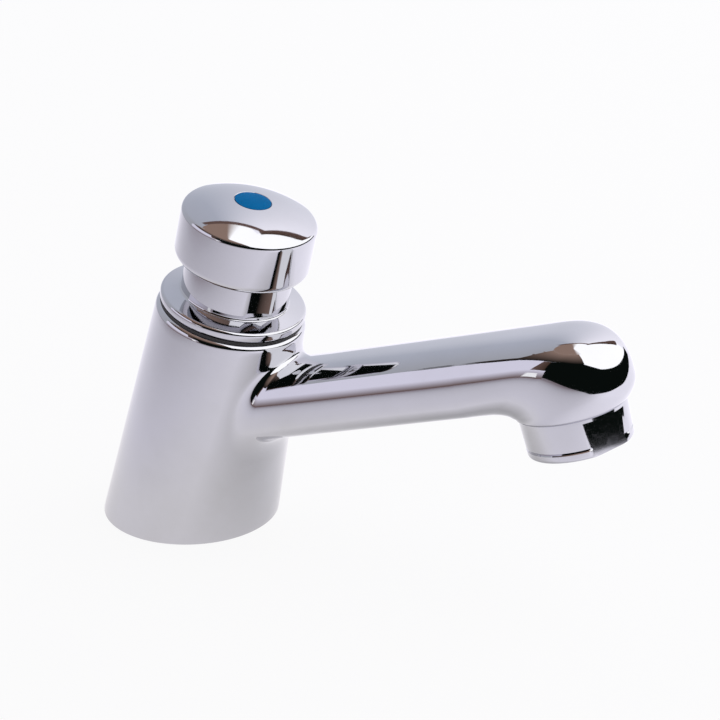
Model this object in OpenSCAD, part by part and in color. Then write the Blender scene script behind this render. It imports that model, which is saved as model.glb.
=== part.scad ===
// Push timed tap: a leaning cast body with a rising spout, a push button that works a
// hydraulic timing cartridge, an aerator at the outlet, and a threaded tail with the
// washers and nut that clamp the tap through a deck.
// Frame: origin at the centre of the base on the deck, +X towards the spout, +Z up.

/* [Body] */
// Lean of the body and the button towards the spout, in degrees
lean_angle = 14.3; // [6:0.1:18]
// Length of the body along its leaning axis, from the deck to the top face
body_length = 60.6; // [58:0.2:80]
// Diameter of the body at the deck, square to its axis
base_d = 45; // [43:0.5:56]
// Diameter of the body at its top face
top_d = 38; // [37:0.5:44]
// Rounding of the body's top rim
rim_round = 1.6; // [0.4:0.1:2.4]
// Width of the metal rim that meets the deck
base_rim = 2.2; // [1.6:0.1:3]
// Depth of the hollow cast into the underside
base_hollow_h = 9; // [6:0.5:10]

/* [Spout] */
// Distance from the body's top face, down its axis, to the spout's centreline
spout_depth = 29.1; // [27:0.1:31]
// Rise of the spout above the horizontal, in degrees
spout_rise = 17.7; // [12:0.1:20]
// Length of the spout's centreline, from the body's axis to the outlet's axis
spout_length = 102.5; // [80:0.5:140]
// Width of the spout
spout_w = 26; // [22:0.5:28]
// Height of the spout
spout_h = 17.4; // [16:0.1:19]
// Where the spout is widest, as a share of its height
spout_belly = 0.37; // [0.35:0.01:0.5]
// Squareness of the spout's section, where 2 is an ellipse
spout_square = 2.8; // [2.4:0.1:4]
// Fillet between the spout and the body, on top and at the sides
root_fillet = 3; // [2:0.5:6]
// Fillet between the spout and the body, underneath
root_fillet_under = 5; // [3:0.5:8]
// Diameter of the waterway along the spout
waterway_d = 6.5; // [6:0.1:6.8]
// Height of the waterway above the spout's centreline, which takes it in over the aerator's thread
waterway_raise = 1; // [0.8:0.1:1]

/* [Outlet] */
// Tilt of the outlet away from the body, in degrees
outlet_tilt = 15.4; // [8:0.1:18]
// Distance from the spout's centreline down to the face above the aerator
outlet_drop = 10.4; // [10:0.1:12]
// How far the rounded nose runs past the outlet's axis
nose_reach = 16.2; // [15:0.1:18]
// Length of the hollow curve under the spout, behind the outlet
under_curve = 9; // [6:0.5:12]
// Outer diameter of the aerator, at its top
aerator_d = 26; // [25.6:0.1:28]
// Height of the aerator below the nose
aerator_h = 9.7; // [9:0.1:11]
// Width of the aerator across its two spanner flats
spanner_flats = 22.4; // [22.2:0.1:24]
// Turn of the flats from the spout's direction, in degrees
flats_turn = -25.5; // [-45:0.5:45]
// Diameter of the aerator's thread
aerator_thread_d = 24; // [23:0.1:24.2]
// Depth of the threaded bore for the aerator
aerator_bore_h = 7; // [6.5:0.1:7.2]
// Wall of the aerator's threaded sleeve
aerator_wall = 1.35; // [1:0.05:1.6]
// Diameter of the holes in the lower grid of the aerator
grid_hole_d = 1.9; // [1:0.1:2.2]

/* [Button] */
// Diameter of the push button
button_d = 33.8; // [33:0.2:40]
// Height of the button, from the skirt to the top of the crown
button_h = 17.5; // [16:0.1:20]
// Radius of the crowned top
crown_r = 36; // [26:1:80]
// Rounding between the crown and the side
edge_round = 3; // [2:0.1:5]
// Rounding of the skirt's lower edge
skirt_round = 2.4; // [1:0.1:2.6]
// Thickness of metal between the hollow inside and the crown's top
crown_t = 5; // [4.4:0.1:6]
// Travel of the button from rest to the bottom of its stroke
button_travel = 7; // [5:0.1:7.2]
// Gap left between the skirt and the collar when the button is down
skirt_gap = 1.8; // [1:0.1:3]
// Diameter of the coloured index disc in the top
index_d = 9; // [8:0.1:11]
// Thickness of the index disc
index_t = 1.2; // [1:0.1:1.4]
// Diameter of the boss under the top that holds the stem
boss_d = 12.4; // [11:0.2:13]
// Length of the boss
boss_h = 5; // [4:0.1:6]

/* [Collar and cartridge] */
// Diameter of the neck that the button slides over
neck_d = 27.2; // [26.8:0.1:28]
// Wall of the neck
neck_wall = 2.4; // [1.8:0.1:3]
// Width of the neck across its two spanner flats
neck_flats = 26.2; // [25.6:0.1:26.8]
// Turn of the neck's flats from the spout's direction, in degrees
neck_flats_turn = -33; // [-90:0.5:90]
// Thickness of the collar's flange at its edge
flange_t = 2.6; // [2:0.1:3.4]
// Rise of the flange's top from its edge to the neck
flange_rise = 1; // [0.2:0.1:1.6]
// Set-back of the flange's edge from the body's rim
flange_inset = 0.6; // [0.2:0.1:1.5]
// Thickness of the gasket between the flange and the body
collar_gasket_t = 0.8; // [0.5:0.1:1.4]
// Diameter of the collar's thread in the body
collar_thread_d = 30; // [29.6:0.1:30.4]
// Length of the collar's thread below the body's top face
collar_thread_h = 12; // [11:0.1:12.6]
// Thickness of the floor across the collar that carries the stem
floor_t = 8; // [7.6:0.1:8.2]
// Diameter of the stem
stem_d = 8; // [7:0.1:8.4]
// Outer diameter of the stem's guide bush
bush_d = 13; // [12:0.1:13.2]
// Length of the guide bush inside the floor
bush_h = 4; // [3.6:0.1:4.2]
// Outer diameter of the stem's lip seal
stem_seal_d = 14.2; // [13.8:0.1:14.4]
// Inner diameter of the timing sleeve
sleeve_d = 20; // [19.4:0.1:20.6]
// Wall of the timing sleeve
sleeve_wall = 2; // [1.5:0.1:2.1]
// Thickness of the piston
piston_h = 6; // [5.6:0.1:6.4]
// Diameter of the hole through the valve seat
seat_d = 11; // [9:0.1:11.4]
// Thickness of the valve seat ring
seat_h = 4; // [3.6:0.1:4.6]
// Distance from the body's top face down to the lower face of the valve seat
seat_depth = 31.5; // [31:0.1:32]
// Diameter of the wire of the return spring
spring_wire = 1.4; // [1:0.1:1.8]
// Mean diameter of the return spring
spring_d = 16.6; // [16:0.1:18]
// Number of turns of the return spring
spring_turns = 7; // [5:1:9]

/* [Tail and deck fixing] */
// Outer diameter of the tail's thread
tail_d = 20.955; // [20:0.005:21.4]
// Bore of the tail
tail_bore_d = 15; // [12:0.1:15.6]
// Length of the tail below the deck
tail_length = 46; // [40:0.5:70]
// Thickness of the deck that the tap is clamped to
deck_t = 14; // [5:0.5:17]
// Thickness of the rubber gasket under the base
base_gasket_t = 2.4; // [1.5:0.1:3]
// Diameter of the rubber washer under the deck
deck_gasket_d = 38; // [30:0.5:44]
// Thickness of the rubber washer under the deck
deck_gasket_t = 2; // [1:0.1:3]
// Diameter of the steel washer under the deck
deck_washer_d = 35; // [30:0.5:42]
// Thickness of the steel washer
deck_washer_t = 1.5; // [1:0.1:2.5]
// Width of the lock nut across its flats
nut_flats = 30; // [27:0.5:34]
// Height of the lock nut
nut_h = 8; // [6:0.1:10]

/* [Hidden] */
$fn = 64;

// Clearances
slide_clear = 0.4;   // between the button's skirt and the neck
run_clear = 0.05;    // a shaft in its bush, a piston seal in its sleeve
fit_clear = 0.1;     // screwed and stacked pieces of the fixed assembly
seat_clear = 0.1;    // a sealing face and what closes on it
wall_clear = 0.3;    // free space round a moving piece
cut = 1;             // how far a cutting shape runs past the face it opens

// Levels along the body's axis, measured up from the body's top face
flange_bottom = collar_gasket_t;
flange_top = flange_bottom + flange_t;
flange_crown = flange_top + flange_rise;
skirt_level = flange_crown + skirt_gap + button_travel;
apex_level = skirt_level + button_h;
ceiling_level = apex_level - crown_t;
neck_gap = 2;
neck_level = ceiling_level - button_travel - neck_gap;
shoulder_level = ceiling_level - boss_h;
floor_level = flange_bottom;
floor_bottom = floor_level - floor_t;
seal_level = floor_level - bush_h;
collar_end = -collar_thread_h;
sleeve_flange_t = 3;
sleeve_shoulder = collar_end - sleeve_flange_t;
piston_gap = 1.3;
piston_level = floor_bottom - piston_gap;
piston_bottom = piston_level - piston_h;
seat_bottom = -seat_depth;
seat_top = seat_bottom + seat_h;
washer_t = 3;
holder_t = 2.2;
washer_nut_t = 2.4;
washer_level = seat_bottom - seat_clear;
holder_level = washer_level - washer_t;
washer_nut_level = holder_level - holder_t;
stem_end = washer_nut_level - washer_nut_t;
stroke_gap = 0.8;
chamber_end = stem_end - button_travel - stroke_gap;

// Radii about the body's axis
base_r = base_d / 2;
top_r = top_d / 2;
body_slope = (base_r - top_r) / body_length;
neck_r = neck_d / 2;
neck_inner_r = neck_r - neck_wall;
flange_r = top_r - flange_inset;
button_r = button_d / 2;
button_inner_r = neck_r + slide_clear;
collar_thread_r = collar_thread_d / 2;
pocket_r = collar_thread_r + run_clear;
stem_r = stem_d / 2;
rod_r = 3;
spigot_r = 2.5;
bush_r = bush_d / 2;
spring_inner_gap = 0.7;
bush_flange_r = spring_d / 2 - spring_wire / 2 - spring_inner_gap;
bush_flange_t = 1.2;
stem_seal_r = stem_seal_d / 2;
stem_seal_h = 2.2;
retainer_t = 0.8;
clip_t = 0.7;
clip_groove_depth = 0.6;
clip_groove_r = stem_seal_r + clip_groove_depth;
retainer_level = seal_level - stem_seal_h - retainer_t;
clip_level = retainer_level - clip_t;
sleeve_r = sleeve_d / 2;
sleeve_outer_r = sleeve_r + sleeve_wall;
collar_bore_r = sleeve_outer_r + wall_clear;
sleeve_flange_inset = 0.8;
sleeve_flange_r = collar_thread_r - sleeve_flange_inset;
flange_pocket_r = sleeve_flange_r + 2 * fit_clear;
gallery_w = 1.4;
gallery_r = sleeve_outer_r + gallery_w;
seat_r = sleeve_outer_r + fit_clear;
seat_bore_r = seat_r + fit_clear;
seat_groove_depth = 1.7;
seat_groove_r = seat_r - seat_groove_depth;
seat_groove_h = 2;
seat_cord_r = seat_groove_depth / 2;
chamber_r = 9;
washer_r = 7.6;
holder_gap = 0.7;
holder_r = chamber_r - holder_gap;
piston_r = sleeve_r - wall_clear;
lip_groove_depth = 1.7;
lip_groove_r = piston_r - lip_groove_depth;
lip_h = 3;
pin_r = 0.45;
pin_bore_r = 0.75;
pin_root = 1;
pin_lead = 2.5;
pin_inset = 0.35;
pin_offset = (seat_d / 2 + lip_groove_r) / 2 - pin_inset;
window_sill = 1;
window_h = 4.2;
window_w = 7.5;
window_count = 6;
collar_cord_r = 0.9;
collar_groove_r = collar_thread_r - 2 * collar_cord_r;

// The spout's and the outlet's lines, in the tap's own frame
spout_dir = [cos(spout_rise), 0, sin(spout_rise)];
spout_up = [-sin(spout_rise), 0, cos(spout_rise)];
spout_start = (body_length - spout_depth) * [sin(lean_angle), 0, cos(lean_angle)];
outlet_up = [-sin(outlet_tilt), 0, cos(outlet_tilt)];
outlet_point = spout_start + spout_length * spout_dir - outlet_drop * outlet_up;
aerator_r = aerator_d / 2;
mouth_lip = 0.5;
mouth_r = aerator_r + mouth_lip;
outlet_land = 3;

// Deck side
tail_r = tail_d / 2;
tail_bore_r = tail_bore_d / 2;
tail_top = 7.4;
tail_seal_t = 1.6;
tail_socket_r = tail_r + fit_clear;
tail_socket_h = tail_top + tail_seal_t;
inlet_r = 8.5;
inlet_top = (body_length + chamber_end) * cos(lean_angle) + chamber_r * sin(lean_angle);
tail_boss_wall = 3.4;
tail_boss_r = tail_socket_r + tail_boss_wall;
gasket_seat_w = 1.8;
gasket_r = base_r - base_rim;
washer_slack = 0.5;
washer_hole_r = tail_r + washer_slack;
deck_gasket_top = -deck_t;
deck_washer_top = deck_gasket_top - deck_gasket_t;
nut_top = deck_washer_top - deck_washer_t;
nut_bottom = nut_top - nut_h;
relief_h = 1.2;
relief_depth = 0.9;

chrome = "silver";
brass = "darkgoldenrod";
rubber = "dimgray";
acetal = "whitesmoke";
steel = "lightslategray";
index_blue = "steelblue";

// Points of an arc in a plane, for outlines
function arc(centre, r, from, to, steps = 8) =
    [for (i = [0:steps]) let (a = from + (to - from) * i / steps) centre + r * [cos(a), sin(a)]];

// Places children on the body's leaning axis, at a level measured from the body's top face
module on_axis(level = 0) {
    rotate([0, lean_angle, 0])
        translate([0, 0, body_length + level])
            children();
}

// Places children on the outlet's axis, at a height above the nose's lower face
module on_outlet(height = 0) {
    translate(outlet_point)
        rotate([0, -outlet_tilt, 0])
            translate([0, 0, height])
                children();
}

// A ring with a square section, standing on z = 0
module ring(outer_r, inner_r, h) {
    difference() {
        cylinder(r = outer_r, h = h);
        translate([0, 0, -cut]) cylinder(r = inner_r, h = h + 2 * cut);
    }
}

// A ring with a round section, centred on z = 0
module cord_ring(mean_r, cord_r) {
    rotate_extrude() translate([mean_r, 0]) circle(r = cord_r, $fn = 24);
}

// A disc pierced by a centre hole and rings of holes about it, standing on z = 0
module pierced_disc(r, h, hole_r, rings, spacing) {
    difference() {
        cylinder(r = r, h = h);
        translate([0, 0, -cut]) cylinder(r = hole_r, h = h + 2 * cut, $fn = 16);
        for (k = [1:rings], i = [0:6 * k - 1])
            rotate([0, 0, 60 * i / k])
                translate([k * spacing, 0, -cut])
                    cylinder(r = hole_r, h = h + 2 * cut, $fn = 16);
    }
}

// Body casting
// Outline of the cast body about its axis, with the rim rounded, level 0 at the top face
module body_outline() {
    low = -body_length - base_r * sin(lean_angle) - 2 * cut;
    polygon(concat(
        [[0, low], [top_r - low * body_slope, low]],
        arc([top_r - rim_round, -rim_round], rim_round, 0, 90),
        [[0, 0]]
    ));
}

// A squared egg shape, as points [across, up] between two heights, widest at a share of its height
section_points = 32;
function power(x, exponent) = sign(x) * pow(abs(x), exponent);
function egg_half(a, low, high, belly) = (high - low) * (sin(a) > 0 ? 1 - belly : belly);
function egg_point(a, half_w, low, high, belly, square) =
    [half_w * power(cos(a), 2 / square),
     low + (high - low) * belly + egg_half(a, low, high, belly) * power(sin(a), 2 / square)];

// Section of the spout, and the outward direction at each of its points
function section_point(i) =
    egg_point(360 * i / section_points, spout_w / 2, -spout_h / 2, spout_h / 2, spout_belly, spout_square);
function section_normal(i) =
    let (a = 360 * i / section_points,
         bend = 2 - 2 / spout_square,
         across = power(cos(a), bend) / (spout_w / 2),
         upward = power(sin(a), bend) / egg_half(a, -spout_h / 2, spout_h / 2, spout_belly))
    [across, upward] / norm([across, upward]);

// Distance along the spout at which a line of it, offset from the centreline, leaves the body
function to_lean(p) =
    [p.x * cos(lean_angle) - p.z * sin(lean_angle), p.y, p.x * sin(lean_angle) + p.z * cos(lean_angle)];
function body_hit(offset) =
    let (p = to_lean(spout_start + [0, offset.x, 0] + offset.y * spout_up),
         d = to_lean(spout_dir),
         radius = base_r - body_slope * p.z,
         a = d.x * d.x + d.y * d.y - pow(body_slope * d.z, 2),
         b = 2 * (p.x * d.x + p.y * d.y + body_slope * d.z * radius),
         c = p.x * p.x + p.y * p.y - radius * radius)
    (-b + sqrt(b * b - 4 * a * c)) / (2 * a);

// Rings of the spout at its root: the first one inside the body, then the fillet
root_depth = 3;
fillet_angles = [24, 38, 52, 66, 80, 90];
function smooth(x) = x * x * (3 - 2 * x);
function fillet_size(i) =
    root_fillet + (root_fillet_under - root_fillet) * smooth(max(0, -section_normal(i).y));
function spout_place(offset, t) = spout_start + [0, offset.x, 0] + offset.y * spout_up + t * spout_dir;
function fillet_ring(angle, depth = 0) = [
    for (i = [0:section_points - 1])
        let (r = fillet_size(i),
             offset = section_point(i) + r * (1 - sin(angle)) * section_normal(i))
        spout_place(offset, body_hit(offset) + r * (1 - cos(angle)) - depth)
];

// Side view of the nose, as points [along the spout, up from its centreline]: the under curve runs
// from the arm's underside to the back of the mouth, the outer curve over the top to its front
skew = outlet_tilt - spout_rise;
mouth_centre = [spout_length, 0] + outlet_drop * [sin(skew), -cos(skew)];
mouth_back = mouth_centre - mouth_r * [cos(skew), sin(skew)];
mouth_front = mouth_centre + mouth_r * [cos(skew), sin(skew)];
nose_start = mouth_back.x - under_curve;
dome_lead = 2;
bulge_drop = 5.5;
dome_start = spout_length - dome_lead;
bulge = [spout_length + nose_reach, -bulge_drop];
dome_share = 0.26;
bulge_share = 0.84;
dome_square = 2.6;
function under_point(u) =
    [nose_start + under_curve * u, -spout_h / 2 + (mouth_back.y + spout_h / 2) * u * u];
function outer_point(u) =
    u < dome_share
    ? [nose_start + (dome_start - nose_start) * u / dome_share, spout_h / 2]
    : u < bulge_share
    ? let (a = 90 * (u - dome_share) / (bulge_share - dome_share))
      [dome_start + (bulge.x - dome_start) * pow(sin(a), 2 / dome_square),
       bulge.y + (spout_h / 2 - bulge.y) * pow(cos(a), 2 / dome_square)]
    : let (v = (u - bulge_share) / (1 - bulge_share))
      [bulge.x + (mouth_front.x - bulge.x) * v * v, bulge.y + (mouth_front.y - bulge.y) * v];

// A ring of the nose: an egg shape across the two curves, which ends as the mouth's circle
nose_steps = 16;
nose_belly = 0.5;
function nose_ring(u) =
    let (low = under_point(u),
         high = outer_point(u),
         rounding = smooth(max(0, u - dome_share) / (1 - dome_share)),
         square = spout_square + (2 - spout_square) * rounding,
         belly = spout_belly + (1 / 2 - spout_belly) * min(1, u / nose_belly),
         half_w = spout_w / 2 + (mouth_r - spout_w / 2) * u)
    [for (i = [0:section_points - 1])
        let (point = egg_point(360 * i / section_points, half_w, 0, 1, belly, square),
             p = low + (high - low) * point.y)
        spout_place([point.x, p.y], p.x)];
spout_rings = concat(
    [fillet_ring(fillet_angles[0], root_depth)],
    [for (a = fillet_angles) fillet_ring(a)],
    [for (k = [0:nose_steps]) nose_ring(k / nose_steps)]
);

// Middle of a list of points
function sum(list, i = 0) = i == len(list) - 1 ? list[i] : list[i] + sum(list, i + 1);
function middle(points) = sum(points) / len(points);

// A closed skin over rings of equally many points, in triangles, with each end fanned from its middle
module loft(rings) {
    n = len(rings[0]);
    last = (len(rings) - 1) * n;
    first_middle = len(rings) * n;
    polyhedron(
        points = concat([for (ring = rings, p = ring) p], [middle(rings[0]), middle(rings[len(rings) - 1])]),
        faces = concat(
            [for (k = [0:len(rings) - 2], i = [0:n - 1]) [k * n + i, (k + 1) * n + i, k * n + (i + 1) % n]],
            [for (k = [0:len(rings) - 2], i = [0:n - 1])
                [k * n + (i + 1) % n, (k + 1) * n + i, (k + 1) * n + (i + 1) % n]],
            [for (i = [0:n - 1]) [i, (i + 1) % n, first_middle]],
            [for (i = [0:n - 1]) [last + (i + 1) % n, last + i, first_middle + 1]]
        ),
        convexity = 4
    );
}

// Outer form of the casting, cut off flat at the deck
module casting() {
    deck_cut = 4 * base_d;
    difference() {
        on_axis() rotate_extrude() body_outline();
        translate([-deck_cut / 2, -deck_cut / 2, -deck_cut]) cube(deck_cut);
    }
    loft(spout_rings);
}

// Stepped bore for the collar and the timing cartridge, down to the inlet chamber
module cartridge_bores() {
    steps = [
        [pocket_r, cut, collar_end - fit_clear],
        [flange_pocket_r, collar_end, sleeve_shoulder],
        [gallery_r, sleeve_shoulder + cut, seat_top],
        [seat_bore_r, seat_top + cut, seat_bottom],
        [chamber_r, seat_bottom + cut, chamber_end]
    ];
    for (s = steps)
        on_axis(s[2]) cylinder(r = s[0], h = s[1] - s[2]);
}

module tap_body() {
    color(chrome)
    difference() {
        casting();
        cartridge_bores();
        // Waterway from the gallery to the outlet
        translate(spout_start + waterway_raise * spout_up)
            rotate([0, 90 - spout_rise, 0])
                translate([0, 0, sleeve_outer_r])
                    cylinder(d = waterway_d, h = spout_length - sleeve_outer_r);
        // Bore and chamber over the aerator
        on_outlet(-cut) cylinder(d = aerator_thread_d + 2 * fit_clear, h = aerator_bore_h + cut);
        on_outlet()
            cylinder(d = aerator_thread_d - 2 * outlet_land,
                     h = outlet_drop + waterway_raise + waterway_d / 2);
        // Socket of the tail and the way up to the inlet chamber
        translate([0, 0, -cut]) cylinder(r = tail_socket_r, h = tail_socket_h + cut);
        cylinder(r = inlet_r, h = inlet_top);
        // Hollow underside round the tail's boss, with a step that seats the gasket
        difference() {
            union() {
                translate([0, 0, -cut]) cylinder(r = gasket_r, h = base_gasket_t + cut);
                cylinder(r = gasket_r - gasket_seat_w, h = base_hollow_h);
            }
            translate([0, 0, -2 * cut]) cylinder(r = tail_boss_r, h = base_hollow_h + 3 * cut);
        }
    }
}

// Collar: flange, neck and threaded skirt in one turned piece, with two spanner flats milled on the neck
module collar_neck() {
    flange_round = 0.9;
    flange_turn = 80;
    flats_rise = 0.6;
    flats_level = flange_crown + flats_rise;
    color(chrome)
    on_axis()
    difference() {
        rotate_extrude() polygon(concat(
            [[0, floor_bottom], [collar_bore_r, floor_bottom], [collar_bore_r, collar_end],
             [collar_thread_r, collar_end], [collar_thread_r, flange_bottom]],
            arc([flange_r - flange_round, flange_bottom + flange_round], flange_round, -90, 0, 4),
            arc([flange_r - flange_round, flange_top - flange_round], flange_round, 0, flange_turn, 6),
            [[neck_r + flange_rise, flange_crown - flange_rise / 2]],
            [[neck_r, flange_crown], [neck_r, neck_level], [neck_inner_r, neck_level],
             [neck_inner_r, floor_level], [0, floor_level]]
        ));
        // Bush bore, seal pocket with its clip groove, and the groove of the outer seal
        translate([0, 0, floor_bottom - cut]) cylinder(r = bush_r, h = floor_t + 2 * cut);
        translate([0, 0, floor_bottom - cut]) cylinder(r = stem_seal_r, h = floor_t - bush_h + cut);
        translate([0, 0, clip_level]) cylinder(r = clip_groove_r, h = clip_t);
        translate([0, 0, -2 * collar_cord_r])
            ring(collar_thread_r + cut, collar_groove_r, 2 * collar_cord_r);
        for (side = [0, 180])
            rotate([0, 0, neck_flats_turn + side])
                translate([neck_flats / 2, -neck_d / 2, flats_level])
                    cube([neck_d, neck_d, neck_level - flats_level + cut]);
    }
}

module collar_gasket() {
    color(rubber)
    on_axis()
        ring(flange_r - wall_clear, pocket_r + 2 * fit_clear, collar_gasket_t);
}

module collar_o_ring() {
    color(rubber)
    on_axis(-collar_cord_r)
        cord_ring(collar_groove_r + collar_cord_r, collar_cord_r - run_clear);
}

// Bush that guides the stem, flanged on top of the collar's floor
module guide_bush() {
    color(acetal)
    on_axis(seal_level)
    difference() {
        union() {
            cylinder(r = bush_r - run_clear, h = bush_h);
            translate([0, 0, bush_h]) cylinder(r = bush_flange_r, h = bush_flange_t);
        }
        translate([0, 0, -cut]) cylinder(r = stem_r + run_clear, h = bush_h + bush_flange_t + 2 * cut);
    }
}

// Lip seal on the stem, with a groove in its lower face
module stem_seal() {
    lip_w = 0.8;
    color(rubber)
    on_axis(seal_level - stem_seal_h)
    difference() {
        ring(stem_seal_r - run_clear, stem_r + run_clear, stem_seal_h);
        translate([0, 0, -cut]) ring(stem_seal_r - lip_w, stem_r + lip_w, stem_seal_h / 2 + cut);
    }
}

module seal_retainer() {
    color(brass)
    on_axis(retainer_level)
        ring(stem_seal_r - run_clear, stem_r + wall_clear, retainer_t);
}

// Spring clip in the collar's groove, open at one side
module retainer_clip() {
    clip_w = 1.6;
    clip_gap = 5;
    color(steel)
    on_axis(clip_level)
    difference() {
        ring(clip_groove_r - fit_clear, clip_groove_r - clip_w, clip_t);
        translate([0, -clip_gap / 2, -cut]) cube([clip_groove_r + cut, clip_gap, clip_t + 2 * cut]);
    }
}

// Sleeve in which the piston moves, with the windows that let the water out below it
module timing_sleeve() {
    top = floor_bottom - 2 * fit_clear;
    window_level = seat_top + window_sill;
    color(brass)
    on_axis()
    difference() {
        union() {
            translate([0, 0, seat_top]) cylinder(r = sleeve_outer_r, h = top - seat_top);
            translate([0, 0, sleeve_shoulder]) cylinder(r = sleeve_flange_r, h = sleeve_flange_t);
        }
        translate([0, 0, seat_top - cut]) cylinder(r = sleeve_r, h = top - seat_top + 2 * cut);
        for (i = [0:window_count - 1])
            rotate([0, 0, 360 * i / window_count])
                translate([0, -window_w / 2, window_level])
                    cube([sleeve_outer_r + cut, window_w, window_h]);
    }
}

// Wire that keeps the bleed hole through the piston clear
module metering_pin() {
    color(steel)
    on_axis(seat_top - pin_root)
        translate([pin_offset, 0, 0])
            cylinder(r = pin_r, h = piston_bottom + pin_lead - seat_top + pin_root, $fn = 24);
}

module seat_ring() {
    color(brass)
    on_axis(seat_bottom)
    difference() {
        ring(seat_r, seat_d / 2, seat_h);
        translate([0, 0, (seat_h - seat_groove_h) / 2]) ring(seat_r + cut, seat_groove_r, seat_groove_h);
        translate([pin_offset, 0, seat_h - pin_root])
            cylinder(r = pin_r + run_clear, h = pin_root + cut, $fn = 24);
    }
}

module seat_o_ring() {
    color(rubber)
    on_axis(seat_bottom + seat_h / 2)
        cord_ring(seat_groove_r + seat_cord_r + run_clear, seat_cord_r);
}

// Return spring between the collar's floor and the inside of the button
spring_sides = 6;
spring_rings_per_turn = 8;
spring_low = floor_level + spring_wire / 2 + 2 * fit_clear;
spring_high = ceiling_level - spring_wire / 2 - 2 * fit_clear;
function spring_point(turn) =
    [spring_d / 2 * cos(360 * turn), spring_d / 2 * sin(360 * turn),
     spring_low + (spring_high - spring_low) * turn / spring_turns];
function spring_ring(turn) = [
    for (i = [0:spring_sides - 1])
        let (a = -360 * i / spring_sides, out = spring_d / 2 + spring_wire / 2 * cos(a))
        [out * cos(360 * turn), out * sin(360 * turn), spring_point(turn).z + spring_wire / 2 * sin(a)]
];
spring_gap = norm(spring_point(1) - spring_point(0)) - spring_wire;
echo(str("least gap between the spring's turns: ", spring_gap, " mm"));

module return_spring() {
    color(steel)
    on_axis()
        loft([for (k = [0:spring_turns * spring_rings_per_turn]) spring_ring(k / spring_rings_per_turn)]);
}

// Push button: a crowned cap with a hollow that slides over the neck
module button_outline() {
    crown_level = apex_level - crown_r;
    crown_angle = asin((button_r - edge_round) / (crown_r - edge_round));
    edge_centre = [button_r - edge_round, crown_level + (crown_r - edge_round) * cos(crown_angle)];
    polygon(concat(
        [[button_inner_r, skirt_level]],
        arc([button_r - skirt_round, skirt_level + skirt_round], skirt_round, -90, 0),
        arc(edge_centre, edge_round, 0, 90 - crown_angle, 10),
        arc([0, crown_level], crown_r, 90 - crown_angle, 90),
        [[0, shoulder_level], [boss_d / 2, shoulder_level], [boss_d / 2, ceiling_level],
         [button_inner_r, ceiling_level]]
    ));
}

screw_r = 2;
screw_head_r = 3.4;
screw_head_t = 1.6;
screw_grip = 6;
index_level = apex_level - index_t;
screw_seat = index_level - screw_head_t - fit_clear;

module push_button() {
    color(chrome)
    on_axis()
    difference() {
        rotate_extrude() button_outline();
        // Recess of the index disc, seat of the screw head, screw hole and socket of the stem
        translate([0, 0, index_level]) cylinder(d = index_d + 2 * fit_clear, h = index_t + cut);
        translate([0, 0, screw_seat])
            cylinder(r = screw_head_r + fit_clear, h = index_t + screw_head_t + cut);
        translate([0, 0, shoulder_level - cut])
            cylinder(r = screw_r + fit_clear, h = apex_level - shoulder_level);
        translate([0, 0, shoulder_level - cut]) cylinder(r = rod_r + fit_clear, h = boss_h / 2 + cut);
    }
}

// Coloured disc that marks the water and hides the screw, crowned like the button
module index_disc() {
    dome = 0.3;
    disc_r = index_d / 2;
    dome_r = (disc_r * disc_r + dome * dome) / (2 * dome);
    dome_angle = asin(disc_r / dome_r);
    color(index_blue)
    on_axis(index_level)
        rotate_extrude() polygon(concat(
            [[0, 0], [disc_r, 0]],
            arc([0, index_t - dome_r], dome_r, 90 - dome_angle, 90, 6)
        ));
}

// Screw down through the button into the stem, with a hexagon socket
module button_screw() {
    socket_flats = 3;
    shank_h = screw_seat - shoulder_level + screw_grip;
    color(steel)
    on_axis(screw_seat)
    difference() {
        union() {
            translate([0, 0, -shank_h]) cylinder(r = screw_r, h = shank_h + cut / 2);
            cylinder(r = screw_head_r, h = screw_head_t);
        }
        translate([0, 0, screw_head_t / 4]) cylinder(d = socket_flats / cos(30), h = screw_head_t, $fn = 6);
    }
}

// Stem from the button down to the valve washer
stem_groove = 0.7;
clip_land = 1;
module push_stem() {
    spigot_top = shoulder_level + boss_h / 2 - fit_clear;
    clip_bottom = piston_bottom - clip_t;
    color(steel)
    on_axis()
    difference() {
        rotate_extrude() polygon([
            [0, stem_end], [spigot_r, stem_end], [spigot_r, washer_level], [rod_r, washer_level],
            [rod_r, clip_bottom - clip_land], [stem_r, clip_bottom - clip_land], [stem_r, clip_bottom],
            [stem_r - stem_groove, clip_bottom], [stem_r - stem_groove, piston_bottom],
            [stem_r, piston_bottom],
            [stem_r, shoulder_level], [rod_r, shoulder_level], [rod_r, spigot_top], [0, spigot_top]
        ]);
        translate([0, 0, shoulder_level - screw_grip - cut])
            cylinder(r = screw_r + run_clear, h = boss_h + screw_grip + cut);
    }
}

// Piston of the timing chamber, with the groove of its lip seal and the bleed hole
module timing_piston() {
    groove_level = piston_bottom + (piston_h - lip_h) / 2;
    color(acetal)
    on_axis()
    difference() {
        translate([0, 0, piston_bottom]) ring(piston_r, stem_r + run_clear, piston_h);
        translate([0, 0, groove_level]) ring(piston_r + cut, lip_groove_r, lip_h);
        translate([pin_offset, 0, piston_bottom - cut])
            cylinder(r = pin_bore_r, h = piston_h + 2 * cut, $fn = 24);
    }
}

module piston_lip_seal() {
    lip_w = 0.6;
    groove_level = piston_bottom + (piston_h - lip_h) / 2;
    color(rubber)
    on_axis(groove_level)
    difference() {
        ring(sleeve_r - run_clear, lip_groove_r + run_clear, lip_h - fit_clear);
        translate([0, 0, lip_h / 2]) ring(sleeve_r - lip_w, lip_groove_r + lip_w, lip_h);
    }
}

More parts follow.
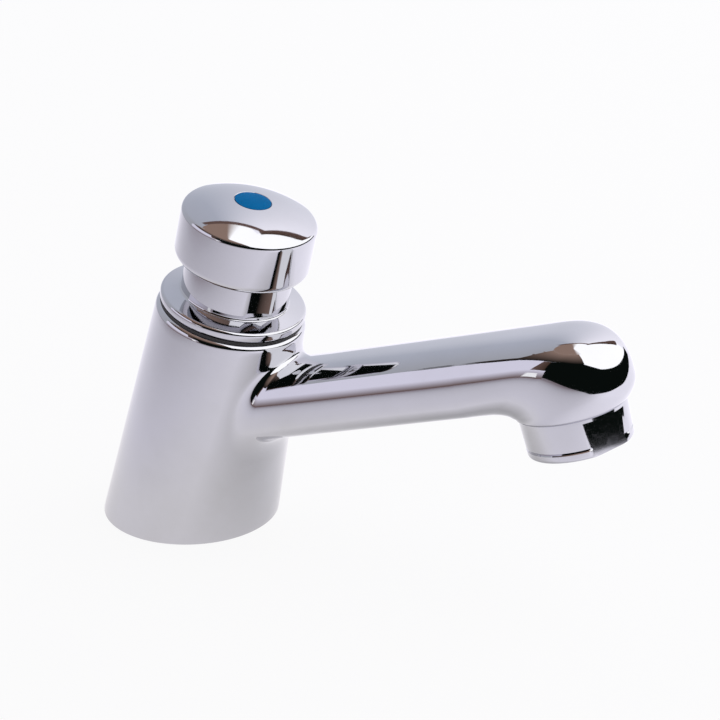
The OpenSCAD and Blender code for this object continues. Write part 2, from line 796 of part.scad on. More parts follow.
// Clip in the stem's groove that holds the piston, open at one side
module piston_clip() {
    clip_gap = 4;
    clip_r = pin_offset - pin_bore_r;
    color(steel)
    on_axis(piston_bottom - clip_t)
    difference() {
        ring(clip_r, stem_r - stem_groove + fit_clear, clip_t - fit_clear);
        translate([-clip_r - cut, -clip_gap / 2, -cut]) cube([clip_r + cut, clip_gap, clip_t + 2 * cut]);
    }
}

module valve_washer() {
    color(rubber)
    on_axis(holder_level)
        ring(washer_r, spigot_r + run_clear, washer_t);
}

// Cup that backs the valve washer
module washer_holder() {
    rim_h = washer_t / 2;
    color(brass)
    on_axis(washer_nut_level)
    difference() {
        cylinder(r = holder_r, h = holder_t + rim_h);
        translate([0, 0, holder_t]) cylinder(r = washer_r + fit_clear, h = rim_h + cut);
        translate([0, 0, -cut]) cylinder(r = spigot_r + run_clear, h = holder_t + 2 * cut);
    }
}

module washer_nut() {
    nut_af = 8;
    color(brass)
    on_axis(stem_end)
    difference() {
        cylinder(d = nut_af / cos(30), h = washer_nut_t, $fn = 6);
        translate([0, 0, -cut]) cylinder(r = spigot_r + run_clear, h = washer_nut_t + 2 * cut);
    }
}

// Aerator
housing_lip_h = 1.1;
housing_lip_w = 0.8;
housing_inner_r = aerator_thread_d / 2 - aerator_wall;
aerator_gasket_t = 1.5;
aerator_gasket_w = 3.15;
housing_top = aerator_bore_h - aerator_gasket_t;
grid_t = 1.5;
grid_level = -aerator_h + housing_lip_h;
grid_pitch = 2.9;
strainer_t = 0.8;
strainer_sink = 0.7;
strainer_hole_r = 0.7;
strainer_pitch = 2.2;
insert_level = grid_level + grid_t;
insert_wall = 2;
strainer_level = housing_top - strainer_t - strainer_sink;
insert_r = housing_inner_r - fit_clear;

// Turned housing: a threaded sleeve up into the nose and a collar below it, with two spanner flats
module aerator_housing() {
    flats_top = -1;
    taper = 0.3;
    groove = 0.35;
    rim_strip_h = 2.2;
    groove_level = -aerator_h + rim_strip_h;
    lower_r = aerator_r - taper;
    rim_edge = 0.9;
    color(chrome)
    on_outlet()
    difference() {
        rotate_extrude() polygon(concat(
            [[housing_inner_r - housing_lip_w, -aerator_h]],
            arc([lower_r - rim_edge, -aerator_h + rim_edge], rim_edge, -90, 0, 6),
            [[lower_r, groove_level - groove], [lower_r - groove, groove_level],
             [lower_r, groove_level + groove], [aerator_r, -fit_clear],
             [aerator_thread_d / 2, -fit_clear], [aerator_thread_d / 2, housing_top],
             [housing_inner_r, housing_top], [housing_inner_r, grid_level],
             [housing_inner_r - housing_lip_w, grid_level]]
        ));
        for (side = [0, 180])
            rotate([0, 0, flats_turn + side])
                translate([spanner_flats / 2, -aerator_d / 2, -aerator_h - cut])
                    cube([aerator_d, aerator_d, aerator_h + cut + flats_top]);
    }
}

module aerator_gasket() {
    gasket_r = aerator_thread_d / 2 - run_clear;
    color(rubber)
    on_outlet(housing_top)
        ring(gasket_r, gasket_r - aerator_gasket_w, aerator_gasket_t);
}

module aerator_strainer() {
    color(steel)
    on_outlet(strainer_level)
        pierced_disc(insert_r, strainer_t, strainer_hole_r, 4, strainer_pitch);
}

// Mixing tube that holds the strainer off the grid
module aerator_insert() {
    color(acetal)
    on_outlet(insert_level)
        ring(insert_r, insert_r - insert_wall, strainer_level - insert_level);
}

// Lower grid that straightens the stream
module aerator_grid() {
    color(acetal)
    on_outlet(grid_level)
        pierced_disc(insert_r, grid_t, grid_hole_d / 2, 3, grid_pitch);
}

// Tail and deck fixing
// Tail: threaded up into the body, with a run-out groove where the supply thread begins
module inlet_tail() {
    chamfer = 1;
    relief_level = nut_bottom - relief_h;
    color(brass)
    difference() {
        rotate_extrude() polygon([
            [0, -tail_length], [tail_r - chamfer, -tail_length], [tail_r, -tail_length + chamfer],
            [tail_r, relief_level], [tail_r - relief_depth, relief_level],
            [tail_r - relief_depth, nut_bottom], [tail_r, nut_bottom], [tail_r, tail_top], [0, tail_top]
        ]);
        translate([0, 0, -tail_length - cut])
            cylinder(r = tail_bore_r, h = tail_length + tail_top + 2 * cut);
    }
}

module tail_seal() {
    color(rubber)
    translate([0, 0, tail_top])
        ring(tail_socket_r - fit_clear, inlet_r + fit_clear, tail_seal_t);
}

// Pierced cup that keeps grit out of the cartridge, pushed into the end of the tail
module inlet_strainer() {
    strainer_h = 4;
    strainer_plate = 1;
    strainer_wall = 0.8;
    inlet_hole_r = 0.6;
    inlet_pitch = 1.8;
    color(steel)
    translate([0, 0, -tail_length]) {
        ring(tail_bore_r - run_clear, tail_bore_r - strainer_wall, strainer_h);
        translate([0, 0, strainer_h - strainer_plate])
            pierced_disc(tail_bore_r - strainer_wall, strainer_plate, inlet_hole_r, 3, inlet_pitch);
    }
}

module base_gasket() {
    color(rubber)
        ring(gasket_r - fit_clear, tail_boss_r + fit_clear, base_gasket_t);
}

module deck_gasket() {
    color(rubber)
    translate([0, 0, deck_washer_top])
        ring(deck_gasket_d / 2, washer_hole_r, deck_gasket_t);
}

module deck_washer() {
    color(steel)
    translate([0, 0, nut_top])
        ring(deck_washer_d / 2, washer_hole_r, deck_washer_t);
}

// Hexagon nut with chamfered corners and a face turned on its clamping side
module lock_nut() {
    corner_d = nut_flats / cos(30);
    face_inset = 0.5;
    face_t = 0.6;
    face_r = nut_flats / 2 - face_inset;
    color(brass)
    translate([0, 0, nut_bottom])
    difference() {
        intersection() {
            cylinder(d = corner_d, h = nut_h, $fn = 6);
            rotate_extrude() polygon([
                [0, 0], [nut_flats / 2, 0], [corner_d / 2, (corner_d - nut_flats) / 3],
                [corner_d / 2, nut_h - face_t], [face_r, nut_h - face_t],
                [face_r, nut_h], [0, nut_h]
            ]);
        }
        translate([0, 0, -cut]) cylinder(r = tail_r + fit_clear, h = nut_h + 2 * cut);
    }
}

tap_body();
collar_gasket();
collar_neck();
collar_o_ring();
guide_bush();
stem_seal();
seal_retainer();
retainer_clip();
timing_sleeve();
metering_pin();
seat_ring();
seat_o_ring();
return_spring();
push_button();
index_disc();
button_screw();
push_stem();
timing_piston();
piston_lip_seal();
piston_clip();
valve_washer();
washer_holder();
washer_nut();
aerator_housing();
aerator_gasket();
aerator_strainer();
aerator_insert();
aerator_grid();
inlet_tail();
tail_seal();
inlet_strainer();
base_gasket();
deck_gasket();
deck_washer();
lock_nut();
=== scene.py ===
import math

import bmesh
import bpy
from mathutils import Matrix, Vector


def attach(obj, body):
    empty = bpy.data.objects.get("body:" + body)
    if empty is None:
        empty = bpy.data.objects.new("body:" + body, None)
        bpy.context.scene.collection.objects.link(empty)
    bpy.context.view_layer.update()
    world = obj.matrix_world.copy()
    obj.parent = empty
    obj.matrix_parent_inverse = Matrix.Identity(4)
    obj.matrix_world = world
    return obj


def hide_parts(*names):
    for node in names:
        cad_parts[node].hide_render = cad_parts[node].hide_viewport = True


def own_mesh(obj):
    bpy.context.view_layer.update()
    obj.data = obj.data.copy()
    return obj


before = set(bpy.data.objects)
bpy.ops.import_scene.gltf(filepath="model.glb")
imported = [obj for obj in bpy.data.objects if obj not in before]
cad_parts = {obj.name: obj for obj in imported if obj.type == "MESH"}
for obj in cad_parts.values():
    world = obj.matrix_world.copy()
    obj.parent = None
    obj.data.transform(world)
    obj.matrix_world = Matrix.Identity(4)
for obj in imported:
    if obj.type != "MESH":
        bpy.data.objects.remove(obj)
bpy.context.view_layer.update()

# Cast body and spout
# One brass casting: a leaning, slightly tapered body and a rising arm that ends in a rounded nose.
# It is fettled, polished by hand and chromium plated, and every other piece screws into it.
MM = 0.001
LEAN = math.radians(14.3)
BODY_LENGTH = 60.6
BASE_R = 22.5
TOP_R = 19.0
RIM_ROUND = 1.6
RIM_LEVEL = BODY_LENGTH - RIM_ROUND
TAPER = (BASE_R - TOP_R) / RIM_LEVEL
AROUND = 96
lean = Matrix.Rotation(LEAN, 4, "Y")


def body_r(height):
    """Radius of the body at a height along its leaning axis."""
    return TOP_R + TAPER * (RIM_LEVEL - height)


def on_body(angle, height):
    """A point of the body's skin, with angle 0 towards the spout."""
    r = body_r(height)
    return lean @ Vector((r * math.cos(angle), r * math.sin(angle), height))


def deck_height(angle):
    """Height along the axis at which a line of the body meets the deck."""
    run = math.cos(angle) * math.sin(LEAN)
    return body_r(0) * run / (math.cos(LEAN) + TAPER * run)


def circle(count, r, height, place):
    """Points of a circle about the axis of a placing matrix."""
    angles = [2 * math.pi * i / count for i in range(count)]
    return [place @ Vector((r * math.cos(a), r * math.sin(a), height)) for a in angles]


def edges_of(bm, ring):
    return [bm.edges.get((a, b)) for a, b in zip(ring, ring[1:] + ring[:1])]


def first_ring(bm, places):
    ring = bmesh.ops.create_circle(bm, segments=len(places), radius=1)["verts"]
    for vert, place in zip(ring, places):
        vert.co = place
    return ring


def next_ring(bm, ring, places):
    """Draws a closed loop of edges out into the next loop and sets that on its places."""
    made = bmesh.ops.extrude_edge_only(bm, edges=edges_of(bm, ring))["geom"]
    fresh = {v for v in made if isinstance(v, bmesh.types.BMVert)}
    ring = [next(e.other_vert(v) for e in v.link_edges if e.other_vert(v) in fresh) for v in ring]
    for vert, place in zip(ring, places):
        vert.co = place
    return ring


def cap(bm, ring):
    bmesh.ops.contextual_create(bm, geom=edges_of(bm, ring))


SPOUT_RISE = math.radians(17.7)
SPOUT_LENGTH = 102.5
SPOUT_W = 26.0
SPOUT_H = 17.4
SPOUT_BELLY = 0.37
SPOUT_SQUARE = 2.8
SPOUT_DEPTH = 29.1
OUTLET_TILT = math.radians(15.4)
OUTLET_DROP = 10.4
MOUTH_R = 13.5
spout_dir = Vector((math.cos(SPOUT_RISE), 0, math.sin(SPOUT_RISE)))
spout_up = Vector((-math.sin(SPOUT_RISE), 0, math.cos(SPOUT_RISE)))
spout_start = lean @ Vector((0, 0, BODY_LENGTH - SPOUT_DEPTH))
outlet_up = Vector((-math.sin(OUTLET_TILT), 0, math.cos(OUTLET_TILT)))
outlet_point = spout_start + SPOUT_LENGTH * spout_dir - OUTLET_DROP * outlet_up
on_outlet = Matrix.Translation(outlet_point) @ Matrix.Rotation(-OUTLET_TILT, 4, "Y")


def power(x, square):
    return math.copysign(abs(x) ** (2 / square), x)


def spout_place(across, up, along):
    return spout_start + Vector((0, across, 0)) + up * spout_up + along * spout_dir


def egg(i, half_w, low, high, belly, square):
    """A point of a squared egg shape between two heights, widest at the belly's share of its height."""
    a = 2 * math.pi * i / AROUND
    wide = low + (high - low) * belly
    tall = high - wide if math.sin(a) > 0 else wide - low
    return half_w * power(math.cos(a), square), wide + tall * power(math.sin(a), square), tall


def section(i):
    """A point of the arm's section and the outward direction there, as (across, up)."""
    x, y, tall = egg(i, SPOUT_W / 2, -SPOUT_H / 2, SPOUT_H / 2, SPOUT_BELLY, SPOUT_SQUARE)
    a = 2 * math.pi * i / AROUND
    bend = 2 / (2 - 2 / SPOUT_SQUARE)
    normal = Vector((power(math.cos(a), bend) / (SPOUT_W / 2), power(math.sin(a), bend) / tall))
    return Vector((x, y)), normal.normalized()


def leaves_body(across, up):
    """Distance along the spout at which a line of it comes out of the body."""
    p = lean.inverted() @ spout_place(across, up, 0)
    d = lean.inverted() @ spout_dir
    r = body_r(p.z)
    a = d.x * d.x + d.y * d.y - (TAPER * d.z) ** 2
    b = 2 * (p.x * d.x + p.y * d.y + TAPER * d.z * r)
    c = p.x * p.x + p.y * p.y - r * r
    return (-b + math.sqrt(b * b - 4 * a * c)) / (2 * a)


def to_body(point):
    """The nearest point of the body's skin on the same level."""
    local = lean.inverted() @ point
    return on_body(math.atan2(local.y, local.x), local.z)


ROOT_FILLET = 3.4
ROOT_FILLET_TOP = 4.2
ROOT_FILLET_UNDER = 6.0


def root_curve(i):
    """Start, corner and end of the fillet between the body and a line of the spout."""
    point, normal = section(i)
    along = leaves_body(point.x, point.y)
    corner = spout_place(point.x, point.y, along)
    outward = Vector((0, normal.x, 0)) + normal.y * spout_up
    local = lean.inverted() @ corner
    skin = lean @ Vector((local.x, local.y, TAPER * body_r(local.z))).normalized()
    away = (outward - outward.dot(skin) * skin).normalized()
    edge = ROOT_FILLET_TOP if normal.y > 0 else ROOT_FILLET_UNDER
    size = ROOT_FILLET + (edge - ROOT_FILLET) * normal.y ** 2
    return to_body(corner + size * away), corner, corner + size * spout_dir, along + size


# The side view of the nose, as (along, up): the under curve runs to the back of the mouth, and the
# outer curve over the top to its front.
UNDER_CURVE = 9.0
DOME_LEAD = 2.0
DOME_SQUARE = 2.6
DOME_SHARE = 0.26
BULGE_SHARE = 0.84
NOSE_BELLY = 0.5
ROUND_BELLY = 0.5
ROUND_SQUARE = 2.0
NOSE_REACH = 16.1
BULGE_DROP = 5.5
bulge = Vector((SPOUT_LENGTH + NOSE_REACH, -BULGE_DROP))
skew = OUTLET_TILT - SPOUT_RISE
mouth_centre = Vector((SPOUT_LENGTH, 0)) + OUTLET_DROP * Vector((math.sin(skew), -math.cos(skew)))
mouth_side = MOUTH_R * Vector((math.cos(skew), math.sin(skew)))
mouth_back, mouth_front = mouth_centre - mouth_side, mouth_centre + mouth_side
nose_start = mouth_back.x - UNDER_CURVE
dome_start = SPOUT_LENGTH - DOME_LEAD


def under_point(u):
    return Vector((nose_start + UNDER_CURVE * u, -SPOUT_H / 2 + (mouth_back.y + SPOUT_H / 2) * u * u))


def outer_point(u):
    if u < DOME_SHARE:
        return Vector((nose_start + (dome_start - nose_start) * u / DOME_SHARE, SPOUT_H / 2))
    if u < BULGE_SHARE:
        a = math.pi / 2 * (u - DOME_SHARE) / (BULGE_SHARE - DOME_SHARE)
        return Vector((dome_start + (bulge.x - dome_start) * power(math.sin(a), DOME_SQUARE),
                       bulge.y + (SPOUT_H / 2 - bulge.y) * power(math.cos(a), DOME_SQUARE)))
    v = (u - BULGE_SHARE) / (1 - BULGE_SHARE)
    return Vector((bulge.x + (mouth_front.x - bulge.x) * v * v, bulge.y + (mouth_front.y - bulge.y) * v))


def nose_ring(u):
    """A squared egg shape across the two curves, which ends as the circle of the mouth."""
    low, high = under_point(u), outer_point(u)
    x = max(0, u - DOME_SHARE) / (1 - DOME_SHARE)
    ease = x * x * (3 - 2 * x)
    square = SPOUT_SQUARE + (ROUND_SQUARE - SPOUT_SQUARE) * ease
    belly = SPOUT_BELLY + (ROUND_BELLY - SPOUT_BELLY) * min(1, u / NOSE_BELLY)
    half_w = SPOUT_W / 2 + (MOUTH_R - SPOUT_W / 2) * u
    places = []
    for i in range(AROUND):
        across, share, _ = egg(i, half_w, 0, 1, belly, square)
        p = low + (high - low) * share
        places.append(spout_place(across, p.y, p.x))
    return places


BODY_ROWS = 26
PATCH_COLUMNS = 32
PATCH_ROWS = AROUND // 2 - PATCH_COLUMNS
FILLET_STEPS = 8
ARM_STEPS = 8
NOSE_STEPS = 44

bm = bmesh.new()
turn = 2 * math.pi / AROUND
rows = []
for k in range(BODY_ROWS + 1):
    places = []
    for j in range(AROUND):
        low = deck_height(j * turn)
        places.append(on_body(j * turn, low + (RIM_LEVEL - low) * k / BODY_ROWS))
    rows.append(next_ring(bm, rows[-1], places) if rows else first_ring(bm, places))

# Rounded rim, top face and the stepped bore of the cartridge
RIM_STEPS = 6
slope = math.atan(TAPER)
ring = rows[-1]
for k in range(1, RIM_STEPS + 1):
    a = slope + (math.pi / 2 - slope) * k / RIM_STEPS
    r = TOP_R - RIM_ROUND + RIM_ROUND * math.cos(a)
    ring = next_ring(bm, ring, circle(AROUND, r, RIM_LEVEL + RIM_ROUND * math.sin(a), lean))
BORE_STEPS = [(15.05, 0), (15.05, -12.1), (14.4, -12.1), (14.4, -15), (13.4, -15), (13.4, -27.5),
              (12.2, -27.5), (12.2, -31.5), (9, -31.5), (9, -47)]
for r, level in BORE_STEPS:
    ring = next_ring(bm, ring, circle(AROUND, r, BODY_LENGTH + level, lean))
cap(bm, ring)

# Rim on the deck, rebate of the gasket, hollow underside and socket of the tail
UNDERSIDE = [(20.3, 0), (20.3, 2.4), (18.5, 2.4), (18.5, 9), (14.08, 9), (14.08, 0), (10.58, 0),
             (10.58, 9)]
ring = rows[0]
bearings = [math.atan2(v.co.y, v.co.x) for v in ring]
for r, z in UNDERSIDE:
    ring = next_ring(bm, ring, [Vector((r * math.cos(b), r * math.sin(b), z)) for b in bearings])
cap(bm, ring)

# Window in the body's skin, the root fillet, the arm and the nose
patch = set()
for k in range(BODY_ROWS - PATCH_ROWS, BODY_ROWS):
    for j in range(-PATCH_COLUMNS // 2, PATCH_COLUMNS // 2):
        a, b = j % AROUND, (j + 1) % AROUND
        patch.add(bm.faces.get((rows[k][a], rows[k][b], rows[k + 1][b], rows[k + 1][a])))
frame_edges = [e for f in patch for e in f.edges if sum(g in patch for g in e.link_faces) == 1]
bmesh.ops.delete(bm, geom=list(patch), context="FACES")

curves = [root_curve(i) for i in range(AROUND)]
root = ring = first_ring(bm, [c[0] for c in curves])
for k in range(1, FILLET_STEPS + 1):
    v = k / FILLET_STEPS
    w = 1 - v
    ring = next_ring(bm, ring, [w * w * a + 2 * v * w * b + v * v * c for a, b, c, _ in curves])
for k in range(1, ARM_STEPS + 1):
    v = k / ARM_STEPS
    ring = next_ring(bm, ring, [spout_place(*section(i)[0], along + (nose_start - along) * v)
                                for i, (_, _, _, along) in enumerate(curves)])
for k in range(1, NOSE_STEPS + 1):
    ring = next_ring(bm, ring, nose_ring(k / NOSE_STEPS))
mouth = ring
OUTLET_BORE = [(12.1, 0), (12.1, 7), (9, 7), (9, 14.65)]
from_side = on_outlet @ Matrix(((0, 1, 0, 0), (1, 0, 0, 0), (0, 0, 1, 0), (0, 0, 0, 1)))
for r, height in OUTLET_BORE:
    ring = next_ring(bm, ring, circle(AROUND, r, height, from_side))
cap(bm, ring)

SOFT_EDGE = 0.45
bmesh.ops.bevel(bm, geom=edges_of(bm, rows[0]) + edges_of(bm, mouth), offset=SOFT_EDGE,
                offset_type="OFFSET", segments=3, profile=0.5, affect="EDGES", material=-1)

# Skin between the window's frame and the root, subdivided and laid back on the body
DOUBLES = 0.0005
bridge = bmesh.ops.bridge_loops(bm, edges=frame_edges + edges_of(bm, root))["faces"]
rooted = set(root)
across = {e for f in bridge for e in f.edges if (e.verts[0] in rooted) != (e.verts[1] in rooted)}
inner = bmesh.ops.subdivide_edges(bm, edges=list(across), cuts=5, use_grid_fill=True)["geom_inner"]
for vert in {v for v in inner if isinstance(v, bmesh.types.BMVert)}:
    vert.co = to_body(vert.co)
bmesh.ops.remove_doubles(bm, verts=bm.verts[:], dist=DOUBLES)
bmesh.ops.recalc_face_normals(bm, faces=bm.faces[:])


def sockets(group, kind, **named):
    for name, socket in named.items():
        group.interface.new_socket(name.replace("_", " "), in_out=kind, socket_type="NodeSocket" + socket)


def noise(tree, point, scale, detail=3.0, rough=0.5):
    made = tree.nodes.new("ShaderNodeTexNoise")
    made.inputs["Detail"].default_value = detail
    made.inputs["Roughness"].default_value = rough
    tree.links.new(point, made.inputs["Vector"])
    if isinstance(scale, bpy.types.NodeSocket):
        tree.links.new(scale, made.inputs["Scale"])
    else:
        made.inputs["Scale"].default_value = scale
    return made.outputs["Fac"]


def span(tree, value, low, high, to_low=0.0, to_high=1.0):
    made = tree.nodes.new("ShaderNodeMapRange")
    for name, number in zip(("From Min", "From Max", "To Min", "To Max"), (low, high, to_low, to_high)):
        made.inputs[name].default_value = number
    tree.links.new(value, made.inputs["Value"])
    return made.outputs["Result"]


def math_node(tree, operation, a, b):
    made = tree.nodes.new("ShaderNodeMath")
    made.operation = operation
    for socket, value in zip(made.inputs, (a, b)):
        if isinstance(value, bpy.types.NodeSocket):
            tree.links.new(value, socket)
        else:
            socket.default_value = value
    return made.outputs["Value"]


# Marks of handling: a cloudy film, wiped smears and the slight waviness that polishing leaves
handling = bpy.data.node_groups.new("handling_marks", "ShaderNodeTree")
sockets(handling, "INPUT", Point="Vector", Film_Scale="Float", Smear_Scale="Float", Wave_Scale="Float")
sockets(handling, "OUTPUT", Film="Float", Smear="Float", Wave="Float")
given, gives = handling.nodes.new("NodeGroupInput"), handling.nodes.new("NodeGroupOutput")
point = given.outputs["Point"]
FILM_SHOWS = (0.42, 0.72)
SMEAR_SHOWS = (0.5, 0.8)
film = noise(handling, point, given.outputs["Film Scale"], detail=4.0, rough=0.6)
film = span(handling, film, *FILM_SHOWS)
smear = noise(handling, point, given.outputs["Smear Scale"], detail=5.0, rough=0.65)
smear = span(handling, smear, *SMEAR_SHOWS)
wave = noise(handling, point, given.outputs["Wave Scale"], detail=1.0, rough=0.4)
for socket, value in zip(gives.inputs, (film, smear, wave)):
    handling.links.new(value, socket)


def new_material(name):
    made = bpy.data.materials.new(name)
    made.use_nodes = True
    return made, made.node_tree, made.node_tree.nodes["Principled BSDF"]


def marks(tree, group, tilt=0.0, **values):
    """A node group on the piece's own coordinates, with a tilted axis stood upright, and its values."""
    made = tree.nodes.new("ShaderNodeGroup")
    made.node_tree = group
    point = tree.nodes.new("ShaderNodeTexCoord")
    stand = tree.nodes.new("ShaderNodeMapping")
    stand.vector_type = "TEXTURE"
    stand.inputs["Rotation"].default_value = (0, tilt, 0)
    tree.links.new(point.outputs["Object"], stand.inputs["Vector"])
    tree.links.new(stand.outputs["Vector"], made.inputs["Point"])
    for name, value in values.items():
        made.inputs[name.replace("_", " ")].default_value = value
    return made.outputs


def tint(tree, mask, low, high):
    made = tree.nodes.new("ShaderNodeMix")
    made.data_type = "RGBA"
    made.inputs["A"].default_value = (*low, 1)
    made.inputs["B"].default_value = (*high, 1)
    tree.links.new(mask, made.inputs["Factor"])
    return made.outputs["Result"]


def bump(tree, shader, height, distance, strength=1.0):
    made = tree.nodes.new("ShaderNodeBump")
    made.inputs["Distance"].default_value = distance
    made.inputs["Strength"].default_value = strength
    tree.links.new(height, made.inputs["Height"])
    tree.links.new(made.outputs["Normal"], shader.inputs["Normal"])


CHROME = (0.60, 0.60, 0.635)
CHROME_FILM = (0.57, 0.57, 0.595)
CHROME_ROUGH = (0.035, 0.06)
CHROME_SMEARED = 0.05
CHROME_WAVE = 4e-6
chrome, tree, shader = new_material("chrome_plate")
found = marks(tree, handling, Film_Scale=45.0, Smear_Scale=160.0, Wave_Scale=110.0)
shader.inputs["Metallic"].default_value = 1.0
tree.links.new(tint(tree, found["Film"], CHROME, CHROME_FILM), shader.inputs["Base Color"])
worn = span(tree, found["Film"], 0, 1, *CHROME_ROUGH)
worn = math_node(tree, "ADD", worn, span(tree, found["Smear"], 0, 1, 0, CHROME_SMEARED))
tree.links.new(worn, shader.inputs["Roughness"])
bump(tree, shader, found["Wave"], CHROME_WAVE)


def piece(bm, name, material, body, slot, *nodes, sharp=35):
    """Makes a mesh in millimetres a smooth piece that stands for CAD nodes and rides on their body."""
    bmesh.ops.scale(bm, vec=(MM, MM, MM), verts=bm.verts[:])
    mesh = bpy.data.meshes.new(name)
    bm.to_mesh(mesh)
    bm.free()
    mesh.shade_smooth()
    mesh.set_sharp_from_angle(angle=math.radians(sharp))
    mesh.materials.append(material)
    made = bpy.data.objects.new(name, mesh)
    bpy.context.scene.collection.objects.link(made)
    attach(made, body)
    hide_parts(*nodes)
    return made


piece(bm, "cast_body", chrome, "tap", "chrome", "tap_body")

# Valve seat and timing sleeve
# Turned brass rings that drop into the body's stepped bore, with an O-ring round the seat. The sleeve's
# windows let the water out to the spout, and a wire in the seat keeps the piston's bleed hole clear.

# Marks of the lathe: fine rings round the axis, and scuffs from handling and fitting
turning = bpy.data.node_groups.new("turning_marks", "ShaderNodeTree")
sockets(turning, "INPUT", Point="Vector", Line_Scale="Float", Scuff_Scale="Float")
sockets(turning, "OUTPUT", Lines="Float", Scuff="Float")
given, gives = turning.nodes.new("NodeGroupInput"), turning.nodes.new("NodeGroupOutput")
split = turning.nodes.new("ShaderNodeSeparateXYZ")
turning.links.new(given.outputs["Point"], split.inputs["Vector"])
across = math_node(turning, "MULTIPLY", split.outputs["X"], split.outputs["X"])
aside = math_node(turning, "MULTIPLY", split.outputs["Y"], split.outputs["Y"])
across = math_node(turning, "ADD", across, aside)
profile = turning.nodes.new("ShaderNodeCombineXYZ")
turning.links.new(math_node(turning, "POWER", across, 0.5), profile.inputs["X"])
turning.links.new(split.outputs["Z"], profile.inputs["Z"])
LINES_SHOW = (0.3, 0.7)
SCUFF_SHOWS = (0.45, 0.75)
lines = noise(turning, profile.outputs["Vector"], given.outputs["Line Scale"], detail=2.0)
lines = span(turning, lines, *LINES_SHOW)
scuff = noise(turning, given.outputs["Point"], given.outputs["Scuff Scale"], detail=4.0, rough=0.6)
scuff = span(turning, scuff, *SCUFF_SHOWS)
for socket, value in zip(gives.inputs, (lines, scuff)):
    turning.links.new(value, socket)


SCUFF_SCALE = 220.0
TURNED_ROUGH = (0.17, 0.3)
SCUFFED_ROUGH = 0.14
LINE_DEPTH = 5e-6


def turned_metal(name, bright, dull, line_scale, tilt=0.0):
    """A lathe-turned metal whose fine rings run round an upright or tilted axis."""
    made, tree, shader = new_material(name)
    found = marks(tree, turning, tilt, Line_Scale=line_scale, Scuff_Scale=SCUFF_SCALE)
    shader.inputs["Metallic"].default_value = 1.0
    tree.links.new(tint(tree, found["Scuff"], bright, dull), shader.inputs["Base Color"])
    worn = span(tree, found["Lines"], 0, 1, *TURNED_ROUGH)
    worn = math_node(tree, "ADD", worn, span(tree, found["Scuff"], 0, 1, 0, SCUFFED_ROUGH))
    tree.links.new(worn, shader.inputs["Roughness"])
    bump(tree, shader, found["Lines"], LINE_DEPTH)
    return made


def dress(material, *nodes):
    """Gives CAD nodes, whose shape is right, a finished material."""
    for node in nodes:
        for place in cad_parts[node].material_slots:
            place.material = material


# Marks of the mould: the grain of its skin, and a cloudy bloom that comes up on it
moulding = bpy.data.node_groups.new("moulding_marks", "ShaderNodeTree")
sockets(moulding, "INPUT", Point="Vector", Grain_Scale="Float", Bloom_Scale="Float")
sockets(moulding, "OUTPUT", Grain="Float", Bloom="Float")
given, gives = moulding.nodes.new("NodeGroupInput"), moulding.nodes.new("NodeGroupOutput")
BLOOM_SHOWS = (0.35, 0.75)
grain = noise(moulding, given.outputs["Point"], given.outputs["Grain Scale"], detail=4.0, rough=0.6)
bloom = noise(moulding, given.outputs["Point"], given.outputs["Bloom Scale"], detail=3.0)
bloom = span(moulding, bloom, *BLOOM_SHOWS)
for socket, value in zip(gives.inputs, (grain, bloom)):
    moulding.links.new(value, socket)


BLOOM_SCALE = 150.0
GRAINY = 0.6


def moulded(name, fresh, bloomed, smooth, rough, grain_scale, grain_depth):
    """A moulded rubber or plastic, between two colours and two roughnesses."""
    made, tree, shader = new_material(name)
    found = marks(tree, moulding, Grain_Scale=grain_scale, Bloom_Scale=BLOOM_SCALE)
    tree.links.new(tint(tree, found["Bloom"], fresh, bloomed), shader.inputs["Base Color"])
    worn = math_node(tree, "MULTIPLY", found["Bloom"], found["Grain"])
    tree.links.new(span(tree, worn, 0, GRAINY, smooth, rough), shader.inputs["Roughness"])
    bump(tree, shader, found["Grain"], grain_depth)
    return made


BRASS = (0.68, 0.48, 0.20)
BRASS_DULL = (0.53, 0.36, 0.15)
STEEL = (0.60, 0.60, 0.605)
STEEL_DULL = (0.48, 0.485, 0.49)
RUBBER = (0.024, 0.024, 0.025)
RUBBER_BLOOM = (0.058, 0.058, 0.056)
valve_brass = turned_metal("valve_brass", BRASS, BRASS_DULL, 5000.0, LEAN)
valve_steel = turned_metal("valve_steel", STEEL, STEEL_DULL, 7000.0, LEAN)
seal_rubber = moulded("seal_rubber", RUBBER, RUBBER_BLOOM, 0.5, 0.85, 5000.0, 1.2e-5)
dress(valve_brass, "seat_ring", "timing_sleeve")
dress(valve_steel, "metering_pin")
dress(seal_rubber, "seat_o_ring")

# Collar
# A brass turning with a flange and a neck, plated like the body and screwed down into it on a rubber
# gasket and an O-ring, with two flats on the neck for a spanner. The button slides over the neck. The
# floor holds the bush that guides the stem, and below it the stem's lip seal, washer and spring clip.


def arc(centre, r, start, end, steps):
    """Points of an arc in an outline, with its angles in degrees."""
    turns = [math.radians(start + (end - start) * k / steps) for k in range(steps + 1)]
    return [(centre[0] + r * math.cos(a), centre[1] + r * math.sin(a)) for a in turns]


def turned(outline, place, steps=AROUND):
    """Spins an outline of (radius, level) points about the axis of a placing matrix."""
    bm = bmesh.new()
    verts = [bm.verts.new((r, 0, level)) for r, level in outline]
    pairs = zip(verts, verts[1:] + verts[:1])
    edges = [bm.edges.new(pair) for pair in pairs if pair[0].co.x + pair[1].co.x > 0]
    bmesh.ops.spin(bm, geom=verts + edges, cent=(0, 0, 0), axis=(0, 0, 1), angle=2 * math.pi,
                   steps=steps, use_merge=True)
    bmesh.ops.remove_doubles(bm, verts=bm.verts[:], dist=DOUBLES)
    bmesh.ops.recalc_face_normals(bm, faces=bm.faces[:])
    bmesh.ops.transform(bm, matrix=place, verts=bm.verts[:])
    return bm


